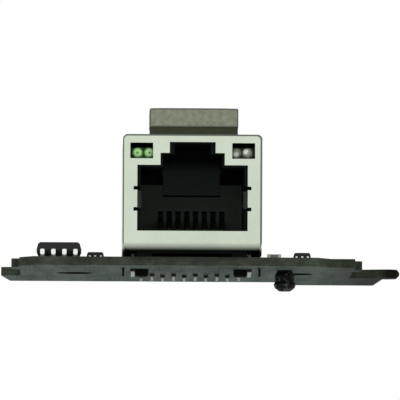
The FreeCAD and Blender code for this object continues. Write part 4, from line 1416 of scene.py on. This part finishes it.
@dataclass
class SolderWork:
    """Solder on the jack's pins and leads under the board, and at the chips' leads.

    Attributes:
        drop: Radii and depths of the joint round a pin, from the board down.
        drop_sides: Sides of that joint.
        rows: Rows of chip leads.
        reach: Length of the fillet at the end of a chip part.
        climb: Share of a chip part's height that its fillet climbs.
        hollow: Size and profile of the hollow slope, in a fillet of unit size.
        hollow_cuts: Faces in that slope.
        toe: Width of a fillet's toe, in a fillet of unit size.
        far_edge: How far out an edge of the unit block lies, to be one of its toe or its top.
        crease: Degrees past which an edge stays sharp.
    """

    drop: tuple[Pair, ...] = (
        (0.31 * MM, 0.0), (0.29 * MM, 0.05 * MM), (0.31 * MM, 0.14 * MM),
        (0.29 * MM, 0.27 * MM), (0.19 * MM, 0.38 * MM),
    )
    drop_sides: int = 16
    rows: tuple[LeadRow, ...] = (
        LeadRow(
            "flash_leads", 4, 1.27 * MM, (0.52 * MM, 0.32 * MM, 0.15 * MM), (0.62 * MM, 0.29 * MM, 0.36 * MM)
        ),
        LeadRow("line_guard_left_leads", 3, 0.65 * MM, (0.3 * MM, 0.22 * MM, 0.13 * MM)),
        LeadRow("line_guard_right_leads", 3, 0.65 * MM, (0.3 * MM, 0.22 * MM, 0.13 * MM)),
        LeadRow("regulator_leads", 3, 0.95 * MM, (0.48 * MM, 0.3 * MM, 0.15 * MM)),
    )
    reach: float = 0.24 * MM
    climb: float = 0.55
    hollow: Pair = (0.88, 0.18)
    hollow_cuts: int = 5
    toe: float = 0.8
    far_edge: float = 0.9
    crease: float = 50.0

    def build(self, nodes: Nodes, effects: Effects) -> None:
        """Model the joints round the pins and the fillets at the chips, and tin the chips' leads.

        Args:
            nodes: The CAD nodes by name.
            effects: The shared shader groups.
        """
        for row in self.rows:
            Node.dress(nodes[row.node], row.finish().material(effects))
        pins = [Spot(place) for row in PrintedBoard().pin_rings() for place in row.places()]
        toes = [spot for row in self.rows for spot in row.spots()]
        toes += [spot for name in ChipParts.names(nodes) for spot in self.ends(name)]
        joints = Bench.copies(self.joint(), pins, "pin_joints")
        Bench.wear(joints, "tinned_lead", Palette.FLUX.material(effects))
        fillets = Bench.copies(self.fillet(), toes, "chip_solder")
        Bench.wear(fillets, "tinned_lead", Palette.SOLDER.material(effects))

    def ends(self, name: str) -> list[Spot]:
        """Place the two fillets of a chip part.

        Args:
            name: The part's node.

        Returns:
            Where they go.
        """
        low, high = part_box(name)
        middle, size = (low + high) / 2, high - low
        scale = (min(size.x, size.y), self.reach, size.z * self.climb)
        if ChipParts.long_axis(name) is Axis.Y:
            places = ((middle.x, low.y, 0.0), (middle.x, high.y, 180.0))
        else:
            places = ((high.x, middle.y, 90.0), (low.x, middle.y, 270.0))
        return [Spot(Vector((x, y, low.z)), turn, scale) for x, y, turn in places]

    def joint(self) -> Piece:
        """Model one joint as a round drop with a small foot that hangs from the board.

        Returns:
            The joint at the origin.
        """
        bpy.ops.mesh.primitive_circle_add(vertices=self.drop_sides, radius=self.drop[0][0], fill_type="NGON")
        piece = bpy.context.active_object
        with Bench.editing(piece):
            bpy.ops.mesh.select_all(action="SELECT")
            for (wide, high), (narrow, low) in zip(self.drop, self.drop[1:]):
                bpy.ops.mesh.extrude_region_move(TRANSFORM_OT_translate={"value": (0, 0, high - low)})
                bpy.ops.transform.resize(value=(narrow / wide, narrow / wide, 1))
            bpy.ops.mesh.select_all(action="SELECT")
            bpy.ops.mesh.normals_make_consistent(inside=False)
        Bench.smooth(self.crease)
        return piece

    def fillet(self) -> Piece:
        """Model one fillet of unit size whose back stands on the origin and whose toe faces -Y.

        Returns:
            The fillet, with a hollow slope.
        """
        bpy.ops.mesh.primitive_cube_add(size=1, location=(0, -0.5, 0.5))
        piece = Bench.settle(bpy.context.active_object, "fillet")
        size, profile = self.hollow
        far = self.far_edge
        with Bench.editing(piece, "EDGE") as mesh:
            Bench.pick_edges(piece, mesh, lambda _, at: at.y < -far and at.z > far)
            bpy.ops.mesh.bevel(offset=size, segments=self.hollow_cuts, profile=profile, affect="EDGES")
            bpy.ops.mesh.select_all(action="DESELECT")
            Bench.pick_edges(piece, mesh, lambda _, at: at.y < -far)
            bpy.ops.transform.resize(value=(self.toe, 1, 1))
        Bench.smooth(self.crease)
        return piece


@dataclass
class GroundingPad:
    """Foam pad wrapped in conductive cloth, cut square at its front and rear.

    Attributes:
        scale: How much larger it is while the cloth is simulated.
        cuts: Cuts along each edge of the block.
        pressure: Pressure in the cloth while it is simulated.
        frames: Frames that the simulation takes.
        shrink: How much smaller it starts, because it swells.
        swell: Furthest that a point may move.
        corner: Radius of its upper long edges.
        spread: How far the cloth stands out past the block at the left and at the right.
        rise: How far the cloth stands above the block.
        lift: How far the strip under the pad is squeezed up round its foot.
        strip_round: Radius of the strip's upright edges.
        strip_cuts: Faces in each of those edges.
        wrap: Thickness of the cloth that shows round the cut foam.
        sink: How far the cut foam lies behind the cloth's edge.
        crease: Degrees past which an edge stays sharp.
    """

    scale: float = 100.0
    cuts: int = 48
    pressure: float = 4.0
    frames: int = 20
    shrink: float = 0.02 * MM
    swell: float = 0.02 * MM
    corner: float = 0.2 * MM
    spread: Pair = (0.2 * MM, 0.06 * MM)
    rise: float = 0.09 * MM
    lift: float = 0.14 * MM
    strip_round: float = 0.12 * MM
    strip_cuts: int = 3
    wrap: float = 0.12 * MM
    sink: float = 0.06 * MM
    crease: float = 40.0

    def build(self, effects: Effects) -> None:
        """Model the pad, let its cloth swell and cut its ends, and model the strip under it.

        Args:
            effects: The shared shader groups.
        """
        piece = self.sleeve()
        self.simulate(piece)
        piece.scale = Vector.Fill(3, 1 / self.scale)
        Bench.settle(piece, "grounding_pad")
        for layer in PadLayer:
            piece.data.materials.append(Palette.PAD[layer].material(effects))
        self.close_ends(piece)
        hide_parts("grounding_gasket")
        Bench.wear(piece, "conductive_cloth")
        strip = self.strip()
        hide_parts("gasket_adhesive")
        Bench.wear(strip, "adhesive_base", Palette.BY_SLOT["adhesive_base"].material(effects))

    def strip(self) -> Piece:
        """Model the adhesive foam strip under the pad, as wide as the cloth.

        Returns:
            The strip, with its upright edges rounded.
        """
        low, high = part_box("gasket_adhesive")
        left, right = self.spread
        low, high = low - Vector((left, 0, 0)), high + Vector((right, 0, self.lift))
        middle = (low + high) / 2
        bpy.ops.mesh.primitive_cube_add(size=1, location=middle, scale=high - low)
        piece = Bench.settle(bpy.context.active_object, "pad_strip")
        with Bench.editing(piece, "EDGE") as mesh:
            Bench.pick_edges(piece, mesh, lambda _, at: abs(at.z - middle.z) < CLOSE)
            bpy.ops.mesh.bevel(offset=self.strip_round, segments=self.strip_cuts, affect="EDGES")
        Bench.smooth(self.crease)
        return piece

    def block(self) -> tuple[Vector, Vector]:
        """Measure the pad with its cloth.

        Returns:
            Its centre and its half sizes.
        """
        left, right = self.spread
        middle = Node.middle("grounding_gasket") + Vector((right - left, 0, self.rise + self.lift)) / 2
        return middle, Node.half("grounding_gasket") + Vector((left + right, 0, self.rise - self.lift)) / 2

    def sleeve(self) -> Piece:
        """Model the cloth as an open sleeve with its upper long edges rounded.

        Returns:
            The sleeve at the simulated size.
        """
        middle, half = self.block()
        half = (half - Vector((self.shrink, 0, self.shrink / 2))) * self.scale
        middle = (middle - Vector((0, 0, self.shrink / 2))) * self.scale
        bpy.ops.mesh.primitive_cube_add(size=2, location=middle, scale=half)
        piece = Bench.settle(bpy.context.active_object, "grounding_pad")
        with Bench.editing(piece) as mesh:
            Bench.pick_faces(piece, mesh, lambda face: abs(face.normal.y) > FACING)
            bpy.ops.mesh.delete(type="ONLY_FACE")
            bpy.ops.mesh.select_all(action="SELECT")
            bpy.ops.mesh.subdivide(number_cuts=self.cuts)
        corner = self.corner * self.scale
        for vertex in piece.data.vertices:
            off = vertex.co - middle
            over = Vector((abs(off.x) - half.x + corner, off.z - half.z + corner))
            if min(over) > 0:
                over *= max(over) / over.length
                vertex.co.x = middle.x + math.copysign(half.x - corner + over.x, off.x)
                vertex.co.z = middle.z + half.z - corner + over.y
        return piece

    def simulate(self, piece: Piece) -> None:
        """Let the cloth swell under pressure, held at its base, and keep what moved little.

        Args:
            piece: The sleeve, at the simulated size.
        """
        start = [vertex.co.copy() for vertex in piece.data.vertices]
        level = min(place.z for place in start) + CLOSE * self.scale
        base = piece.vertex_groups.new(name="glued_base")
        base.add([number for number, place in enumerate(start) if place.z < level], 1.0, "REPLACE")
        Bench.take(piece)
        cloth = piece.modifiers.new("cloth", "CLOTH")
        cloth.settings.use_pressure = True
        cloth.settings.uniform_pressure_force = self.pressure
        cloth.settings.vertex_group_mass = base.name
        cloth.settings.effector_weights.gravity = 0.0
        cloth.point_cache.frame_start, cloth.point_cache.frame_end = 1, self.frames
        scene = bpy.context.scene
        for frame in range(1, self.frames + 1):
            scene.frame_set(frame)
        bpy.ops.object.modifier_apply(modifier=cloth.name)
        scene.frame_set(1)
        limit = self.swell * self.scale
        for vertex, place in zip(piece.data.vertices, start):
            move = vertex.co - place
            if move.length > limit:
                vertex.co = place + move * (limit / move.length)
        piece.vertex_groups.clear()

    @staticmethod
    def paint(piece: Piece, layer: PadLayer) -> None:
        """Give the selected faces one of the pad's materials."""
        piece.active_material_index = layer.value
        bpy.ops.object.material_slot_assign()

    def close_ends(self, piece: Piece) -> None:
        """Fill both ends with foam that lies a little behind the cut edge of the cloth.

        Args:
            piece: The sleeve at its real size.
        """
        middle, half = self.block()
        share = (1 - self.wrap / half.x, 1, 1 - self.wrap / half.z)
        for side in (-1, 1):
            end = middle + Vector((0, half.y * side, 0))
            with Bench.editing(piece, "EDGE") as mesh:
                Bench.pick_edges(
                    piece, mesh, lambda edge, at: edge.is_boundary and (at.y - middle.y) * side > 0
                )
                bpy.ops.transform.resize(value=(1, 0, 1), center_override=end)
                bpy.ops.mesh.edge_face_add()
                bpy.ops.mesh.select_mode(type="FACE")
                bpy.ops.mesh.extrude_region_move(TRANSFORM_OT_translate={"value": (0, 0, 0)})
                bpy.ops.transform.resize(value=share, center_override=end)
                bpy.ops.mesh.extrude_region_move(TRANSFORM_OT_translate={"value": (0, -self.sink * side, 0)})
                self.paint(piece, PadLayer.FOAM)
                bpy.ops.mesh.select_all(action="SELECT")
                bpy.ops.mesh.normals_make_consistent(inside=False)
                outer = -self.sink / 2
                Bench.pick_faces(piece, mesh, lambda face: (face.calc_center_bounds() - end).y * side > outer)
                self.paint(piece, PadLayer.CUT_EDGE)
        Bench.smooth(self.crease)


@dataclass
class Jack:
    """The shielded jack: shield, moulding, comb, wires, transformers and lights.

    Attributes:
        dome_spread: Distance between a light's two domes.
        dome_height: Height of the domes above the bottom of a light.
        wall: Lowest and highest corner of the wall at the back of the port, which gets painted light.
        bands: Width of the painted dark reflection at the left, the right and the top of the face.
        band_depth: How far that painted dark reflection goes back round the bends.
    """

    dome_spread: float = 1.37 * MM
    dome_height: float = 0.68 * MM
    wall: tuple[Point, Point] = ((-3.8 * MM, -9.4 * MM, 7.6 * MM), (5.0 * MM, -6.6 * MM, 11.9 * MM))
    bands: Point = (0.14 * MM, 0.22 * MM, 0.2 * MM)
    band_depth: float = 0.3 * MM

    def dress(self, nodes: Nodes, effects: Effects) -> None:
        """Give the shield, the moulding, the lights and the windings their own finishes.

        Args:
            nodes: The CAD nodes by name.
            effects: The shared shader groups.
        """
        worn: dict[str, Finish] = {"jack_shield": self.shield(), "jack_housing": self.moulding()}
        for hand, lens in Palette.LENSES.items():
            worn[hand.light] = replace(lens, domes=self.domes(hand, lens.radius))
        for name in sorted(nodes):
            if name.startswith("core_winding"):
                worn[name] = replace(Palette.WINDING, centre=tuple(Node.middle(name)))
        for name, finish in worn.items():
            Node.dress(nodes[name], finish.material(effects))

    def shield(self) -> StainedFinish:
        """Make the shield's finish.

        Returns:
            The sheet's finish, with a painted dark reflection at the outer bends of the face.
        """
        low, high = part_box("jack_shield")
        left, right, top = self.bands
        low, high = low + Vector((left, 0, 0)), high - Vector((right, 0, top))
        middle = ((low.x + high.x) / 2, low.y, (low.z + high.z) / 2)
        half = ((high.x - low.x) / 2, (high.z - low.z) / 2)
        sheet = Palette.BY_SLOT["tin_sheet"]
        return replace(sheet, name="shield_sheet", middle=middle, half=half, depth=self.band_depth)

    def moulding(self) -> PortFinish:
        """Return the moulding's finish, with painted light on the wall at the back of the port."""
        low, high = (Vector(corner) for corner in self.wall)
        return replace(Palette.MOULDING, middle=tuple((low + high) / 2), half=tuple((high - low) / 2))

    def domes(self, hand: Hand, radius: float) -> tuple[Point, ...]:
        """Find the centres of a light's two domes.

        Args:
            hand: Which light it is.
            radius: Radius of a dome.

        Returns:
            The two centres, the inner one first.
        """
        low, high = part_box(hand.light)
        side = hand.value
        inner = (low.x if hand is Hand.RIGHT else high.x) + radius * side
        height = low.z + self.dome_height
        return tuple((inner + self.dome_spread * step * side, low.y, height) for step in (0, 1))


@dataclass
class ChipParts:
    """Small capacitors and resistors with tinned ends.

    Attributes:
        cap_share: Share of a part's length that each tinned end takes.
    """

    cap_share: float = 0.22

    @staticmethod
    def kind(name: str) -> str:
        """Return a node's name without its number."""
        return name.rsplit("_", 1)[0]

    @staticmethod
    def names(nodes: Nodes) -> list[str]:
        """Return the names of the nodes that are chip parts."""
        return [name for name in sorted(nodes) if ChipParts.kind(name) in Palette.CHIP_PARTS]

    @staticmethod
    def long_axis(name: str) -> Axis:
        """Return the axis that a chip part lies along."""
        half = Node.half(name)
        return Axis.X if half.x > half.y else Axis.Y

    def dress(self, nodes: Nodes, effects: Effects) -> None:
        """Give every chip part its finish.

        Args:
            nodes: The CAD nodes by name.
            effects: The shared shader groups.
        """
        for name in self.names(nodes):
            body = Node.half(name) * 2
            body[self.long_axis(name).value] *= 0.5 - self.cap_share
            finish = Palette.CHIP_PARTS[self.kind(name)]
            finish = replace(finish, name=name, middle=tuple(Node.middle(name)), half=tuple(body))
            Node.dress(nodes[name], finish.material(effects))


@dataclass(frozen=True)
class Lamp:
    """A soft square lamp that faces the card.

    Attributes:
        name: Name of the lamp.
        place: Where it hangs.
        power: Its power in watts.
        size: Side of its face.
    """

    name: str
    place: Point
    power: float
    size: float = 0.9

    def hang(self) -> None:
        """Hang the lamp in its place."""
        bpy.ops.object.light_add(type="AREA", location=self.place)
        lamp = bpy.context.active_object
        lamp.name = self.name
        lamp.data.size, lamp.data.energy = self.size, self.power
        lamp.rotation_euler = (-Vector(self.place)).to_track_quat("-Z", "Y").to_euler()


@dataclass
class Studio:
    """Floor, light and camera.

    Attributes:
        floor_level: Height of the floor, low enough to see the board from below.
        floor_radius: Radius of the floor.
        floor_sides: Sides of the floor's outline.
        floor_grey: Colour of the floor.
        floor_gloss: Roughness of the floor.
        floor_glow: How much brighter the floor looks to the camera.
        sky: Strength of the even light from all sides.
        lamps: The soft lamps.
        aim: Point of the jack's face in the middle of the picture.
        distance: From that point to the camera.
        azimuth: Degrees that the camera stands to the right.
        elevation: Degrees that it stands above the board.
        roll: Degrees that it leans.
        width: Width of the picture at the jack's face.
        clip: Nearest and furthest that the camera sees.
    """

    floor_level: float = -60 * MM
    floor_radius: float = 8.0
    floor_sides: int = 64
    floor_grey: Colour = (0.8, 0.8, 0.8, 1.0)
    floor_gloss: float = 0.9
    floor_glow: float = 0.2
    sky: float = 0.6
    lamps: tuple[Lamp, ...] = (Lamp("key", (-0.55, -1.0, 0.75), 5.0), Lamp("fill", (0.75, -0.8, 0.35), 3.0))
    aim: Point = (1.462 * MM, -19.0 * MM, 7.435 * MM)
    distance: float = 900 * MM
    azimuth: float = -0.83
    elevation: float = -3.65
    roll: float = 0.29
    width: float = 45.88 * MM
    clip: Pair = (0.01, 50.0)

    def build(self) -> None:
        """Set up the floor, the light and the camera."""
        bpy.context.scene.view_settings.view_transform = "Standard"
        self.floor()
        self.world()
        for lamp in self.lamps:
            lamp.hang()
        self.camera()

    def floor(self) -> None:
        """Lay a wide pale floor that shows white but keeps the card's shadow."""
        low = (0, 0, self.floor_level)
        bpy.ops.mesh.primitive_circle_add(
            vertices=self.floor_sides, radius=self.floor_radius, fill_type="NGON", location=low
        )
        floor = Bench.settle(bpy.context.active_object, "floor")
        pale = bpy.data.materials.new("pale_floor")
        pale.use_nodes = True
        tree = Tree(pale.node_tree)
        shader = pale.node_tree.nodes["Principled BSDF"]
        tree.feed(shader, "Base Color", self.floor_grey)
        tree.feed(shader, "Roughness", self.floor_gloss)
        rays = tree.node("ShaderNodeLightPath").outputs
        glow = tree.node("ShaderNodeEmission", Color=WHITE, Strength=self.floor_glow).outputs[0]
        lift = tree.node("ShaderNodeAddShader", None, shader.outputs[0], glow).outputs[0]
        seen = tree.node("ShaderNodeMixShader", None, rays["Is Camera Ray"], shader.outputs[0], lift)
        tree.feed(pale.node_tree.nodes["Material Output"], "Surface", seen.outputs[0])
        floor.data.materials.append(pale)

    def world(self) -> None:
        """Light the scene evenly, with white behind the card and in what reflects it."""
        world = bpy.data.worlds.new("studio")
        bpy.context.scene.world = world
        world.use_nodes = True
        tree = Tree(world.node_tree)
        even = world.node_tree.nodes["Background"]
        tree.feed(even, "Color", WHITE)
        tree.feed(even, "Strength", self.sky)
        white = tree.node("ShaderNodeBackground", Color=WHITE, Strength=1.0)
        rays = tree.node("ShaderNodeLightPath").outputs
        seen = tree.highest([rays[f"Is {kind} Ray"] for kind in ("Camera", "Glossy", "Transmission")])
        mixed = tree.node("ShaderNodeMixShader", None, seen, even.outputs[0], white.outputs[0])
        tree.feed(world.node_tree.nodes["World Output"], "Surface", mixed.outputs[0])

    def camera(self) -> None:
        """Stand the camera where the picture was taken."""
        turn, rise = math.radians(self.azimuth), math.radians(self.elevation)
        back = Vector((math.sin(turn) * math.cos(rise), -math.cos(turn) * math.cos(rise), math.sin(rise)))
        bpy.ops.object.camera_add(location=Vector(self.aim) + back * self.distance)
        camera = bpy.context.active_object
        camera.rotation_mode = "QUATERNION"
        lean = Matrix.Rotation(math.radians(self.roll), 4, "Z").to_quaternion()
        camera.rotation_quaternion = (-back).to_track_quat("-Z", "Y") @ lean
        camera.data.lens = camera.data.sensor_width * self.distance / self.width
        camera.data.clip_start, camera.data.clip_end = self.clip
        bpy.context.scene.camera = camera


def dress_plain(frame: dict, effects: Effects) -> None:
    """Give every node the plain finish of its record slot.

    Args:
        effects: The shared shader groups.
    """
    for part in frame["record"]["subparts"]:
        finish = Palette.BY_SLOT.get(part["material_slot"])
        if finish:
            Node.dress(frame["nodes"][part["node"]], finish.material(effects))


def main() -> None:
    """Build the card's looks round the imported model."""
    logging.basicConfig(level=logging.INFO, format="%(name)s %(message)s")
    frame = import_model()
    Bench.clear()
    effects = Effects()
    dress_plain(frame, effects)
    PrintedBoard().dress(frame["nodes"], effects)
    Jack().dress(frame["nodes"], effects)
    ChipParts().dress(frame["nodes"], effects)
    SolderWork().build(frame["nodes"], effects)
    GroundingPad().build(effects)
    Studio().build()


if __name__ == "__main__":
    main()
